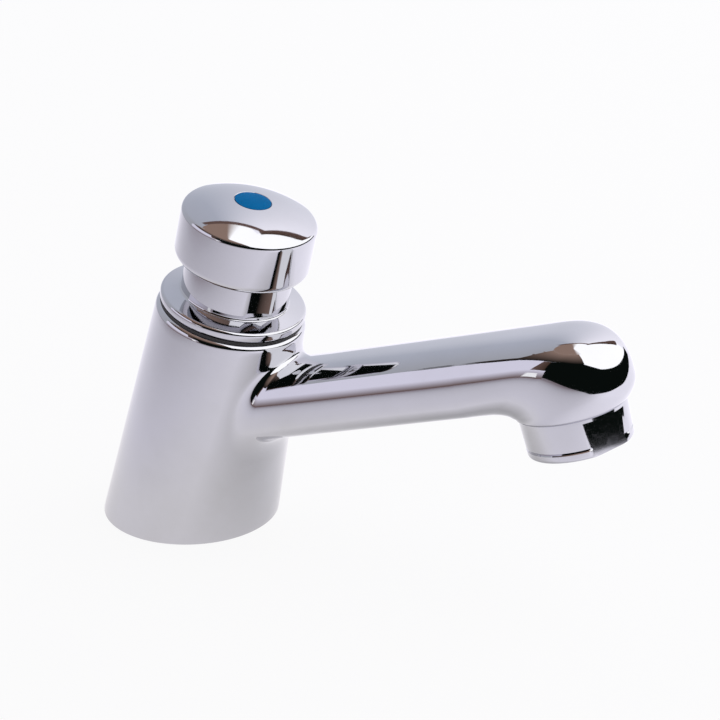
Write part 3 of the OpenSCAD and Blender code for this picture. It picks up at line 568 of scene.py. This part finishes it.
def flattened(places, flat_r, bearing):
    """Presses points that stand out past two opposite flats back on to them."""
    out = Vector((math.cos(bearing), math.sin(bearing), 0))
    for p in places:
        past = abs(p.dot(out)) - flat_r
        yield p - math.copysign(max(0, past), p.dot(out)) * out


upright = Matrix.Identity(4)
on_axis = lean @ Matrix.Translation((0, 0, BODY_LENGTH))
FLANGE_R = 18.4
FLANGE_BOTTOM = 0.8
FLANGE_TOP = 3.4
FLANGE_ROUND = 0.9
NECK_R = 13.6
NECK_INNER_R = 11.2
NECK_TOP = 16.7
NECK_FILLET = 0.7
FILLET_LEVEL = 4.95
NECK_EDGE = 0.4
NECK_FLAT_R = 13.1
NECK_FLAT_TURN = math.radians(-33.0)
NECK_FLAT_LEVEL = 5.0
NECK_STEPS = 144
FLAT_STEP = 0.02
BUSH_R = 6.5
COLLAR_FLOOR = -7.2
COLLAR_END = -12.0
COLLAR_BORE_R = 12.3
COLLAR_THREAD_R = 15.0
outline = [(BUSH_R, COLLAR_FLOOR), (COLLAR_BORE_R, COLLAR_FLOOR), (COLLAR_BORE_R, COLLAR_END),
           (COLLAR_THREAD_R, COLLAR_END), (COLLAR_THREAD_R, FLANGE_BOTTOM)]
outline += arc((FLANGE_R - FLANGE_ROUND, FLANGE_BOTTOM + FLANGE_ROUND), FLANGE_ROUND, -90, 0, 5)
outline += arc((FLANGE_R - FLANGE_ROUND, FLANGE_TOP - FLANGE_ROUND), FLANGE_ROUND, 0, 80, 6)
outline += arc((NECK_R + NECK_FILLET, FILLET_LEVEL), NECK_FILLET, 258, 180, 5)
outline += [(NECK_R, NECK_FLAT_LEVEL), (NECK_R, NECK_FLAT_LEVEL + FLAT_STEP)]
outline += arc((NECK_R - NECK_EDGE, NECK_TOP - NECK_EDGE), NECK_EDGE, 0, 90, 3)
outline += [(NECK_INNER_R, NECK_TOP), (NECK_INNER_R, FLANGE_BOTTOM), (BUSH_R, FLANGE_BOTTOM)]
bm = turned(outline, upright, NECK_STEPS)
milled = [v for v in bm.verts if v.co.z > NECK_FLAT_LEVEL + FLAT_STEP / 2]
for vert, place in zip(milled, flattened([v.co for v in milled], NECK_FLAT_R, NECK_FLAT_TURN)):
    vert.co = place
bmesh.ops.transform(bm, matrix=on_axis, verts=bm.verts[:])
piece(bm, "neck_collar", chrome, "tap", "chrome", "collar_neck", sharp=18)

ACETAL = (0.86, 0.86, 0.83)
ACETAL_BLOOM = (0.77, 0.765, 0.73)
white_acetal = moulded("white_acetal", ACETAL, ACETAL_BLOOM, 0.3, 0.5, 3500.0, 4e-6)
dress(seal_rubber, "collar_gasket", "collar_o_ring", "stem_seal")
dress(white_acetal, "guide_bush")
dress(valve_brass, "seal_retainer")
dress(valve_steel, "retainer_clip")

# Stem, piston and valve
# A turned stainless stem slides through the bush. It carries the moulded timing piston with its lip seal
# and clip, and at its foot the rubber valve washer in a brass cup, held by a nut.
dress(valve_steel, "push_stem", "piston_clip")
dress(white_acetal, "timing_piston")
dress(seal_rubber, "piston_lip_seal", "valve_washer")
dress(valve_brass, "washer_holder", "washer_nut")

# Return spring
# Round stainless wire, coiled with its end turns closed. It stands on the collar's floor inside the neck
# and pushes the button up. In the tap it shortens as the button goes down; here it is built at one
# length.
COIL_R = 8.3
WIRE_R = 0.7
COIL_LOW = 1.7
COIL_HIGH = 24.8
COIL_TURNS = 7
COIL_STEPS = 40
WIRE_SIDES = 12
CLOSED_PITCH = 1.42
open_pitch = (COIL_HIGH - COIL_LOW - 2 * CLOSED_PITCH) / (COIL_TURNS - 2)
bm = bmesh.new()
wire = bmesh.ops.create_circle(bm, segments=WIRE_SIDES, radius=WIRE_R, cap_ends=True)["verts"]
bmesh.ops.rotate(bm, verts=wire, matrix=Matrix.Rotation(math.pi / 2, 3, "X"))
bmesh.ops.translate(bm, verts=wire, vec=(COIL_R, 0, COIL_LOW))
end_face = bm.faces[:]
for turns, pitch in ((1, CLOSED_PITCH), (COIL_TURNS - 2, open_pitch), (1, CLOSED_PITCH)):
    spun = bmesh.ops.spin(bm, geom=end_face, cent=(0, 0, 0), axis=(0, 0, 1), angle=2 * math.pi * turns,
                          dvec=(0, 0, pitch / COIL_STEPS), steps=COIL_STEPS * turns)
    end_face = [f for f in spun["geom_last"] if isinstance(f, bmesh.types.BMFace)]
bmesh.ops.remove_doubles(bm, verts=bm.verts[:], dist=DOUBLES)
bmesh.ops.recalc_face_normals(bm, faces=bm.faces[:])
bmesh.ops.transform(bm, matrix=on_axis, verts=bm.verts[:])
coil = piece(bm, "return_coil", valve_steel, "tap", "steel", "return_spring")
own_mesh(coil)

# Push button
# A turned brass cap, hollow underneath, with a crowned top, plated like the body. A socket screw under
# the index disc holds it on the stem, and it slides down over the collar's neck.
BUTTON_R = 16.9
BUTTON_INNER_R = 14.0
SKIRT_LEVEL = 13.2
APEX_LEVEL = 30.68
CEILING_LEVEL = 25.7
CROWN_R = 36.0
EDGE_ROUND = 1.5
SKIRT_ROUND = 2.4
INDEX_LEVEL = 29.5
INDEX_R = 4.5
RECESS_R = 4.6
RECESS_EDGE = 0.12
SCREW_STEPS = [(3.5, INDEX_LEVEL), (3.5, 27.8), (2.1, 27.8), (2.1, 23.2), (3.1, 23.2), (3.1, 20.7)]
BOSS_R = 6.2
BOSS_END = 20.7
BUTTON_STEPS = 144
crown_level = APEX_LEVEL - CROWN_R
crown_angle = math.asin((BUTTON_R - EDGE_ROUND) / (CROWN_R - EDGE_ROUND))
edge_centre = (BUTTON_R - EDGE_ROUND, crown_level + (CROWN_R - EDGE_ROUND) * math.cos(crown_angle))
crown_start = 90 - math.degrees(crown_angle)
crown_end = 90 - math.degrees(math.asin((RECESS_R + RECESS_EDGE) / CROWN_R))
outline = [(BUTTON_INNER_R, SKIRT_LEVEL)]
outline += arc((BUTTON_R - SKIRT_ROUND, SKIRT_LEVEL + SKIRT_ROUND), SKIRT_ROUND, -90, 0, 10)
outline += arc(edge_centre, EDGE_ROUND, 0, crown_start, 14)
outline += arc((0, crown_level), CROWN_R, crown_start, crown_end, 14)[1:]
outline += [(RECESS_R, outline[-1][1] - RECESS_EDGE), (RECESS_R, INDEX_LEVEL)] + SCREW_STEPS
outline += [(BOSS_R, BOSS_END), (BOSS_R, CEILING_LEVEL), (BUTTON_INNER_R, CEILING_LEVEL)]
piece(turned(outline, on_axis, BUTTON_STEPS), "button_cap", chrome, "plunger", "chrome", "push_button")
dress(valve_steel, "button_screw")

# Index disc
# A moulded disc of blue plastic, slightly domed, pressed into the recess over the screw. Blue stands for
# cold water.
INDEX_T = 1.2
INDEX_DOME = 0.3
INDEX_BLUE = (0.002, 0.155, 0.415)
INDEX_DEEP = (0.002, 0.14, 0.37)
INDEX_SHINE = 0.01
INDEX_ROUGH = (0.16, 0.34)
INDEX_WAVE = 3e-6
dome_r = (INDEX_R ** 2 + INDEX_DOME ** 2) / (2 * INDEX_DOME)
dome_start_deg = 90 - math.degrees(math.asin(INDEX_R / dome_r))
outline = [(0, 0), (INDEX_R, 0)] + arc((0, INDEX_T - dome_r), dome_r, dome_start_deg, 90, 8)
index_gloss, tree, shader = new_material("index_gloss")
shader.inputs["Specular IOR Level"].default_value = INDEX_SHINE
found = marks(tree, handling, Film_Scale=300.0, Smear_Scale=900.0, Wave_Scale=400.0)
tree.links.new(tint(tree, found["Film"], INDEX_BLUE, INDEX_DEEP), shader.inputs["Base Color"])
tree.links.new(span(tree, found["Smear"], 0, 1, *INDEX_ROUGH), shader.inputs["Roughness"])
bump(tree, shader, found["Wave"], INDEX_WAVE)
in_recess = on_axis @ Matrix.Translation((0, 0, INDEX_LEVEL))
piece(turned(outline, in_recess), "index_button", index_gloss, "plunger", "index", "index_disc")

# Aerator
# A turned and plated brass ring with a fine groove round it and two flats for a spanner, screwed up into
# the nose on a rubber gasket. It holds a steel strainer, an acetal mixing tube and an acetal grid.
AERATOR_R = 12.95
AERATOR_H = 9.7
LOWER_R = 12.7
RIM_EDGE = 0.9
GROOVE = 0.35
GROOVE_LEVEL = 2.2 - AERATOR_H
LIP_LEVEL = 1.1 - AERATOR_H
LIP_R = 9.85
HOUSING_INNER_R = 10.65
HOUSING_THREAD_R = 12.0
HOUSING_TOP = 5.5
SHOULDER_LEVEL = -0.1
SHOULDER_EDGE = 0.2
FLAT_R = 11.2
FLAT_TOP = -1.0
FLAT_TURN = math.radians(-25.5)
FLAT_STEPS = 144

milled = [(LIP_R, -AERATOR_H)]
milled += arc((LOWER_R - RIM_EDGE, -AERATOR_H + RIM_EDGE), RIM_EDGE, -90, 0, 6)
milled += [(LOWER_R, GROOVE_LEVEL - GROOVE), (LOWER_R - GROOVE, GROOVE_LEVEL),
           (LOWER_R, GROOVE_LEVEL + GROOVE), (AERATOR_R, FLAT_TOP)]
whole = [(AERATOR_R, FLAT_TOP), (AERATOR_R, SHOULDER_LEVEL - SHOULDER_EDGE),
         (AERATOR_R - SHOULDER_EDGE, SHOULDER_LEVEL), (HOUSING_THREAD_R, SHOULDER_LEVEL),
         (HOUSING_THREAD_R, HOUSING_TOP), (HOUSING_INNER_R, HOUSING_TOP), (HOUSING_INNER_R, LIP_LEVEL),
         (LIP_R, LIP_LEVEL)]
bm = bmesh.new()
ring = start = first_ring(bm, circle(FLAT_STEPS, *milled[0], upright))
for r, level in milled[1:]:
    ring = next_ring(bm, ring, list(flattened(circle(FLAT_STEPS, r, level, upright), FLAT_R, FLAT_TURN)))
for r, level in whole:
    ring = next_ring(bm, ring, circle(FLAT_STEPS, r, level, upright))
bmesh.ops.bridge_loops(bm, edges=edges_of(bm, ring) + edges_of(bm, start))
bmesh.ops.remove_doubles(bm, verts=bm.verts[:], dist=DOUBLES)
bmesh.ops.recalc_face_normals(bm, faces=bm.faces[:])
bmesh.ops.transform(bm, matrix=on_outlet, verts=bm.verts[:])
piece(bm, "outlet_ring", chrome, "tap", "chrome", "aerator_housing", sharp=18)
dress(seal_rubber, "aerator_gasket")
dress(valve_steel, "aerator_strainer")
dress(white_acetal, "aerator_insert", "aerator_grid")

# Tail and its strainer
# A brass tube with a half-inch pipe thread cut over its length, screwed up into the body against a rubber
# washer. A groove parts the lock nut's stretch from the supply's, and a pierced cup sits in its end.
TAIL_R = 10.4775
TAIL_BORE_R = 7.5
TAIL_TOP = 7.4
TAIL_END = -46.0
TAIL_CHAMFER = 1.0
THREAD_PITCH = 1.814
THREAD_DEPTH = 1.162
THREAD_FORM = [(0, 0), (0, 0.1), (1, 0.42), (1, 0.58), (0, 0.9), (0, 1)]
THREAD_STEPS = 64
THREAD_LEAD = 1.5
THREAD_DOUBLES = 0.005
RIM_NEAR = 0.001
RELIEF_TOP = -25.5
RELIEF_END = -26.7
RELIEF_R = 9.2
bm = bmesh.new()
low = TAIL_END - THREAD_LEAD * THREAD_PITCH
turns = math.ceil((TAIL_TOP - low) / THREAD_PITCH) + 1
form = [(TAIL_R - THREAD_DEPTH * (1 - out), 0, low + THREAD_PITCH * up) for out, up in THREAD_FORM]
verts = [bm.verts.new(place) for place in form]
edges = [bm.edges.new(pair) for pair in zip(verts, verts[1:])]
bmesh.ops.spin(bm, geom=verts + edges, cent=(0, 0, 0), axis=(0, 0, 1), angle=2 * math.pi * turns,
               dvec=(0, 0, THREAD_PITCH / THREAD_STEPS), steps=THREAD_STEPS * turns)
bmesh.ops.remove_doubles(bm, verts=bm.verts[:], dist=THREAD_DOUBLES)


def slice_at(level, **clear):
    bmesh.ops.bisect_plane(bm, geom=bm.verts[:] + bm.edges[:] + bm.faces[:], plane_co=(0, 0, level),
                           plane_no=(0, 0, 1), **clear)


def rim_at(level):
    """Edges of the open rim at a level."""
    return [e for e in bm.edges if e.is_boundary
            and all(abs(v.co.z - level) < RIM_NEAR for v in e.verts)]


def step_to(level, r):
    """Draws the open rim at a level in or out to a radius."""
    made = bmesh.ops.extrude_edge_only(bm, edges=rim_at(level))["geom"]
    for vert in (v for v in made if isinstance(v, bmesh.types.BMVert)):
        vert.co.xy = r * vert.co.xy.normalized()


slice_at(TAIL_END, clear_inner=True)
slice_at(TAIL_TOP, clear_outer=True)
slice_at(RELIEF_END)
slice_at(RELIEF_TOP)
groove = [f for f in bm.faces if RELIEF_END < f.calc_center_median().z < RELIEF_TOP]
bmesh.ops.delete(bm, geom=groove, context="FACES")
for vert in bm.verts:
    limit = TAIL_R - TAIL_CHAMFER + vert.co.z - TAIL_END
    if vert.co.xy.length > limit:
        vert.co.xy = limit * vert.co.xy.normalized()
for level in (RELIEF_END, RELIEF_TOP):
    step_to(level, RELIEF_R)
for level in (TAIL_END, TAIL_TOP):
    step_to(level, TAIL_BORE_R)
bmesh.ops.bridge_loops(bm, edges=rim_at(RELIEF_END) + rim_at(RELIEF_TOP))
bmesh.ops.bridge_loops(bm, edges=rim_at(TAIL_END) + rim_at(TAIL_TOP))
bmesh.ops.recalc_face_normals(bm, faces=bm.faces[:])
tail_brass = turned_metal("tail_brass", BRASS, BRASS_DULL, 4000.0)
washer_steel = turned_metal("washer_steel", STEEL, STEEL_DULL, 3000.0)
piece(bm, "threaded_tail", tail_brass, "tap", "brass", "inlet_tail", sharp=25)
dress(seal_rubber, "tail_seal")
dress(washer_steel, "inlet_strainer")

# Deck fixing
# A rubber gasket lies in the base's rebate. Under the deck come a rubber washer and a punched steel
# washer, both with soft edges, and the brass lock nut that draws the tap down.
WASHER_HOLE_R = 10.98
DECK_GASKET = (19.0, -16.0, -14.0, 0.35)
DECK_WASHER = (17.5, -17.5, -16.0, 0.2)


def washer(r, low, high, edge):
    """A flat ring with rounded edges."""
    outline = arc((WASHER_HOLE_R + edge, low + edge), edge, 180, 270, 4)
    outline += arc((r - edge, low + edge), edge, 270, 360, 4)
    outline += arc((r - edge, high - edge), edge, 0, 90, 4)
    outline += arc((WASHER_HOLE_R + edge, high - edge), edge, 90, 180, 4)
    return turned(outline, upright)


piece(washer(*DECK_GASKET), "deck_rubber", seal_rubber, "tap", "rubber", "deck_gasket")
piece(washer(*DECK_WASHER), "deck_plate", washer_steel, "tap", "steel", "deck_washer")
dress(seal_rubber, "base_gasket")
dress(tail_brass, "lock_nut")

# Studio
# A pale paper floor in plain soft light, and a camera at the photograph's angle. Cards round the tap show
# only in its metal, as the walls, window and ceiling of a room do.
CAMERA_AZIMUTH = math.radians(30.0)
CAMERA_HEIGHT = math.radians(23.224)
CAMERA_ROLL = math.radians(-1.017)
CAMERA_SHIFT = (44.084, 38.236)
CAMERA_DISTANCE = 579.951
FOCAL_PIXELS = 2200.0
PICTURE = 720
SENSOR = 36.0


def towards(azimuth, height):
    """Direction at a bearing and a height. Bearing 0 is in front of the tap and 90 beyond its spout."""
    level = math.cos(height)
    return Vector((math.sin(azimuth) * level, -math.cos(azimuth) * level, math.sin(height)))


back = towards(CAMERA_AZIMUTH, CAMERA_HEIGHT)
right = Vector((math.cos(CAMERA_AZIMUTH), math.sin(CAMERA_AZIMUTH), 0))
up = back.cross(right)
side = math.cos(CAMERA_ROLL) * right + math.sin(CAMERA_ROLL) * up
rise = -math.sin(CAMERA_ROLL) * right + math.cos(CAMERA_ROLL) * up
spot = (CAMERA_SHIFT[0] * side + CAMERA_SHIFT[1] * rise + CAMERA_DISTANCE * back) * MM
lens = bpy.data.cameras.new("camera")
lens.sensor_width = SENSOR
lens.lens = FOCAL_PIXELS / PICTURE * SENSOR
lens.clip_start = 0.01
camera = bpy.data.objects.new("camera", lens)
camera.matrix_world = Matrix((side, rise, back)).transposed().to_4x4()
camera.matrix_world.translation = spot
scene = bpy.context.scene
scene.collection.objects.link(camera)
scene.camera = camera
scene.view_settings.view_transform = "Standard"

FLOOR_SIZE = 3.0
FLOOR_DROP = 0.0003
PAPER = (0.82, 0.81, 0.90)
PAPER_ROUGH = 0.9
SHOWN_WHITE = 0.92
MIRRORED_WHITE = 0.7
LIGHT_SIDE = (0.565, 0.825)
LIGHT_FALL = (-0.25, 0.15)
PAPER_PAINTED_DIM = (0.65, 0.635, 0.69)
PAPER_PAINTED_LIT = (1.42, 1.39, 1.50)
SHADE_CENTRE = (0.082, 0.0, 0.0)
SHADE_REACH = (0.055, 0.05, 1.0)
SHADE_FADE = (0.3, 1.4)
PAINTED_SHADE_DEEP = (0.5, 0.505, 0.48)
NEAR_BASE = (0.05, 0.12)
NEAR_TONE = (1.0, 1.0, 0.93)
FAR_FALL = (-0.44, -0.24)
FAR_TONE = (0.40, 0.32, 0.32)
bm = bmesh.new()
bmesh.ops.create_grid(bm, x_segments=8, y_segments=8, size=FLOOR_SIZE)
mesh = bpy.data.meshes.new("floor")
bm.to_mesh(mesh)
bm.free()
floor = bpy.data.objects.new("floor", mesh)
floor.location.z = -FLOOR_DROP
scene.collection.objects.link(floor)
paper = bpy.data.materials.new("paper")
paper.use_nodes = True
tree = paper.node_tree
shader = tree.nodes["Principled BSDF"]
shader.inputs["Base Color"].default_value = (*PAPER, 1)
shader.inputs["Roughness"].default_value = PAPER_ROUGH
shader.inputs["Specular IOR Level"].default_value = 0.0
glow = tree.nodes.new("ShaderNodeEmission")
glow.inputs["Color"].default_value = (1, 1, 1, 1)
# Painted light: to glossy rays the paper mostly glows instead of showing the light it gets. The glow is
# brighter towards the back right and dimmer towards the front left.
painted_glow_in_metal = tree.nodes.new("ShaderNodeEmission")
place = tree.nodes.new("ShaderNodeTexCoord")
split = tree.nodes.new("ShaderNodeSeparateXYZ")
tree.links.new(place.outputs["Object"], split.inputs["Vector"])
along = math_node(tree, "ADD", math_node(tree, "MULTIPLY", split.outputs["X"], LIGHT_SIDE[0]),
                  math_node(tree, "MULTIPLY", split.outputs["Y"], LIGHT_SIDE[1]))
fall = tint(tree, span(tree, along, *LIGHT_FALL), PAPER_PAINTED_DIM, PAPER_PAINTED_LIT)
# Painted shade: the paper's glow in the metal is darker below the spout, where the spout would keep light
# off it
from_spout = tree.nodes.new("ShaderNodeVectorMath")
from_spout.operation = "SUBTRACT"
tree.links.new(place.outputs["Object"], from_spout.inputs[0])
from_spout.inputs[1].default_value = SHADE_CENTRE
scaled = tree.nodes.new("ShaderNodeVectorMath")
scaled.operation = "DIVIDE"
tree.links.new(from_spout.outputs["Vector"], scaled.inputs[0])
scaled.inputs[1].default_value = SHADE_REACH
how_far = tree.nodes.new("ShaderNodeVectorMath")
how_far.operation = "LENGTH"
tree.links.new(scaled.outputs["Vector"], how_far.inputs[0])
shade = tint(tree, span(tree, how_far.outputs["Value"], *SHADE_FADE), PAINTED_SHADE_DEEP, (1, 1, 1))
# The painted glow in the metal is also a little less blue near the base, and darker and browner far
# towards the front left.
from_base = tree.nodes.new("ShaderNodeVectorMath")
from_base.operation = "LENGTH"
tree.links.new(place.outputs["Object"], from_base.inputs[0])
tone = tint(tree, span(tree, from_base.outputs["Value"], *NEAR_BASE), NEAR_TONE, (1, 1, 1))
far = tint(tree, span(tree, along, *FAR_FALL), FAR_TONE, (1, 1, 1))
mirrored = fall
for layer in (shade, tone, far):
    both = tree.nodes.new("ShaderNodeVectorMath")
    both.operation = "MULTIPLY"
    tree.links.new(mirrored, both.inputs[0])
    tree.links.new(layer, both.inputs[1])
    mirrored = both.outputs["Vector"]
tree.links.new(mirrored, painted_glow_in_metal.inputs["Color"])
path = tree.nodes.new("ShaderNodeLightPath")
shown, seen = tree.nodes.new("ShaderNodeMixShader"), tree.nodes.new("ShaderNodeMixShader")
to_camera = math_node(tree, "MULTIPLY", path.outputs["Is Camera Ray"], SHOWN_WHITE)
to_metal = math_node(tree, "MULTIPLY", path.outputs["Is Glossy Ray"], MIRRORED_WHITE)
tree.links.new(to_camera, shown.inputs["Fac"])
tree.links.new(to_metal, seen.inputs["Fac"])
tree.links.new(shader.outputs["BSDF"], shown.inputs[1])
tree.links.new(glow.outputs["Emission"], shown.inputs[2])
tree.links.new(shown.outputs["Shader"], seen.inputs[1])
tree.links.new(painted_glow_in_metal.outputs["Emission"], seen.inputs[2])
tree.links.new(seen.outputs["Shader"], tree.nodes["Material Output"].inputs["Surface"])
mesh.materials.append(paper)

AIR = (0.78, 0.80, 0.86)
AIR_LIGHT = 1.95
world = bpy.data.worlds.new("studio")
scene.world = world
world.use_nodes = True
tree = world.node_tree
wall = tree.nodes["Background"]
wall.inputs["Color"].default_value = (*AIR, 1)
white = tree.nodes.new("ShaderNodeBackground")
white.inputs["Color"].default_value = (1, 1, 1, 1)
mix = tree.nodes.new("ShaderNodeMixShader")
path = tree.nodes.new("ShaderNodeLightPath")
air_light = span(tree, path.outputs["Is Diffuse Ray"], 0, 1, 1.0, AIR_LIGHT)
tree.links.new(air_light, wall.inputs["Strength"])
tree.links.new(path.outputs["Is Camera Ray"], mix.inputs["Fac"])
tree.links.new(wall.outputs["Background"], mix.inputs[1])
tree.links.new(white.outputs["Background"], mix.inputs[2])
tree.links.new(mix.outputs["Shader"], tree.nodes["World Output"].inputs["Surface"])

AIM = Vector((0.05, 0, 0.06))


def screen(name, azimuth, height, start, end, along="X", distance=1.2, facing=None):
    """A card round the tap, between two bearings and two heights in degrees.

    A third height lets its top slope, and a bearing that it faces makes its level lines straight. Its
    colour fades from start to end along its width (X) or height (Y). It shows in the metal and not to
    the camera.
    """
    bm = bmesh.new()
    bm.loops.layers.uv.new("card")
    bmesh.ops.create_grid(bm, x_segments=16, y_segments=8, size=1, calc_uvs=True)
    for vert in bm.verts:
        u, v = (vert.co.x + 1) / 2, (vert.co.y + 1) / 2
        a = math.radians(azimuth[0] + (azimuth[1] - azimuth[0]) * u)
        top = height[1] + (height[-1] - height[1]) * u
        e = math.radians(height[0] + (top - height[0]) * v)
        if facing is not None:
            e = math.atan(math.tan(e) * math.cos(a - math.radians(facing)))
        vert.co = AIM + distance * towards(a, e)
    mesh = bpy.data.meshes.new(name)
    bm.to_mesh(mesh)
    bm.free()
    card = bpy.data.objects.new(name, mesh)
    scene.collection.objects.link(card)
    card.visible_camera = False
    material = bpy.data.materials.new(name)
    material.use_nodes = True
    tree = material.node_tree
    tree.nodes.remove(tree.nodes["Principled BSDF"])
    glow = tree.nodes.new("ShaderNodeEmission")
    place = tree.nodes.new("ShaderNodeTexCoord")
    split = tree.nodes.new("ShaderNodeSeparateXYZ")
    tree.links.new(place.outputs["UV"], split.inputs["Vector"])
    tree.links.new(tint(tree, split.outputs[along], start, end), glow.inputs["Color"])
    tree.links.new(glow.outputs["Emission"], tree.nodes["Material Output"].inputs["Surface"])
    mesh.materials.append(material)


BLACK = (0.004, 0.006, 0.005)
BROWN_DARK = (0.075, 0.045, 0.032)
BROWN = (0.17, 0.105, 0.09)
BROWN_PALE = (0.38, 0.26, 0.21)
LAMP = (1.3, 1.3, 1.3)
LAVENDER = (1.0, 0.97, 1.12)
SKY = (1.65, 1.65, 1.65)
BACK_LIT = (1.38, 1.35, 1.44)
BACK_SHADE = (0.60, 0.63, 0.72)
LEFT_SHADE = (0.52, 0.53, 0.57)
HORIZON = -4.3
OVERHEAD = 89.8
NEAR = 0.8
screen("room_low", (-16, 47), (HORIZON, 37), BLACK, BLACK, distance=NEAR)
screen("room_high", (-75, 47), (37, 66), BLACK, BROWN_PALE, "Y")
screen("room_left", (-26, -16), (9, 37), BROWN, BROWN_DARK, distance=NEAR)
screen("room_side", (47, 80), (HORIZON, 36, 21), BLACK, BLACK, distance=NEAR)
screen("room_right", (80, 165), (HORIZON, 21, 4), BLACK, BLACK, distance=NEAR)
screen("ceiling_front", (-148, 36), (66, OVERHEAD), BROWN_PALE, BROWN_PALE)
screen("ceiling_edge", (36, 58), (66, OVERHEAD), BROWN_PALE, SKY)
screen("ceiling_side", (58, 128), (66, OVERHEAD), SKY, SKY)
screen("window", (47, 160), (0, 66), SKY, SKY)
screen("skylight", (128, 190), (66, OVERHEAD), SKY, SKY)
screen("ceiling_turn", (190, 212), (66, OVERHEAD), SKY, BROWN_PALE)
screen("window_post", (157, 164), (20, 65), BROWN_DARK, BROWN, distance=1.15)
screen("window_head", (161, 243), (67, 70), BROWN, BROWN, distance=1.15, facing=205)
screen("post_foot", (164, 184), (HORIZON, 12), BROWN_DARK, BROWN_DARK)
screen("back_wall", (160, 225), (HORIZON, 67.5), BACK_LIT, BACK_SHADE)
screen("left_wall", (225, 290), (HORIZON, 66), BACK_SHADE, LEFT_SHADE)
screen("left_card", (-70, -24), (9, 38), LAVENDER, LAVENDER)
screen("left_low", (-70, -12), (-6.2, 12), BROWN, LAVENDER, "Y", distance=0.55)
screen("left_lamp", (-23, -17), (-4, 4.5), LAMP, LAMP, distance=0.5)
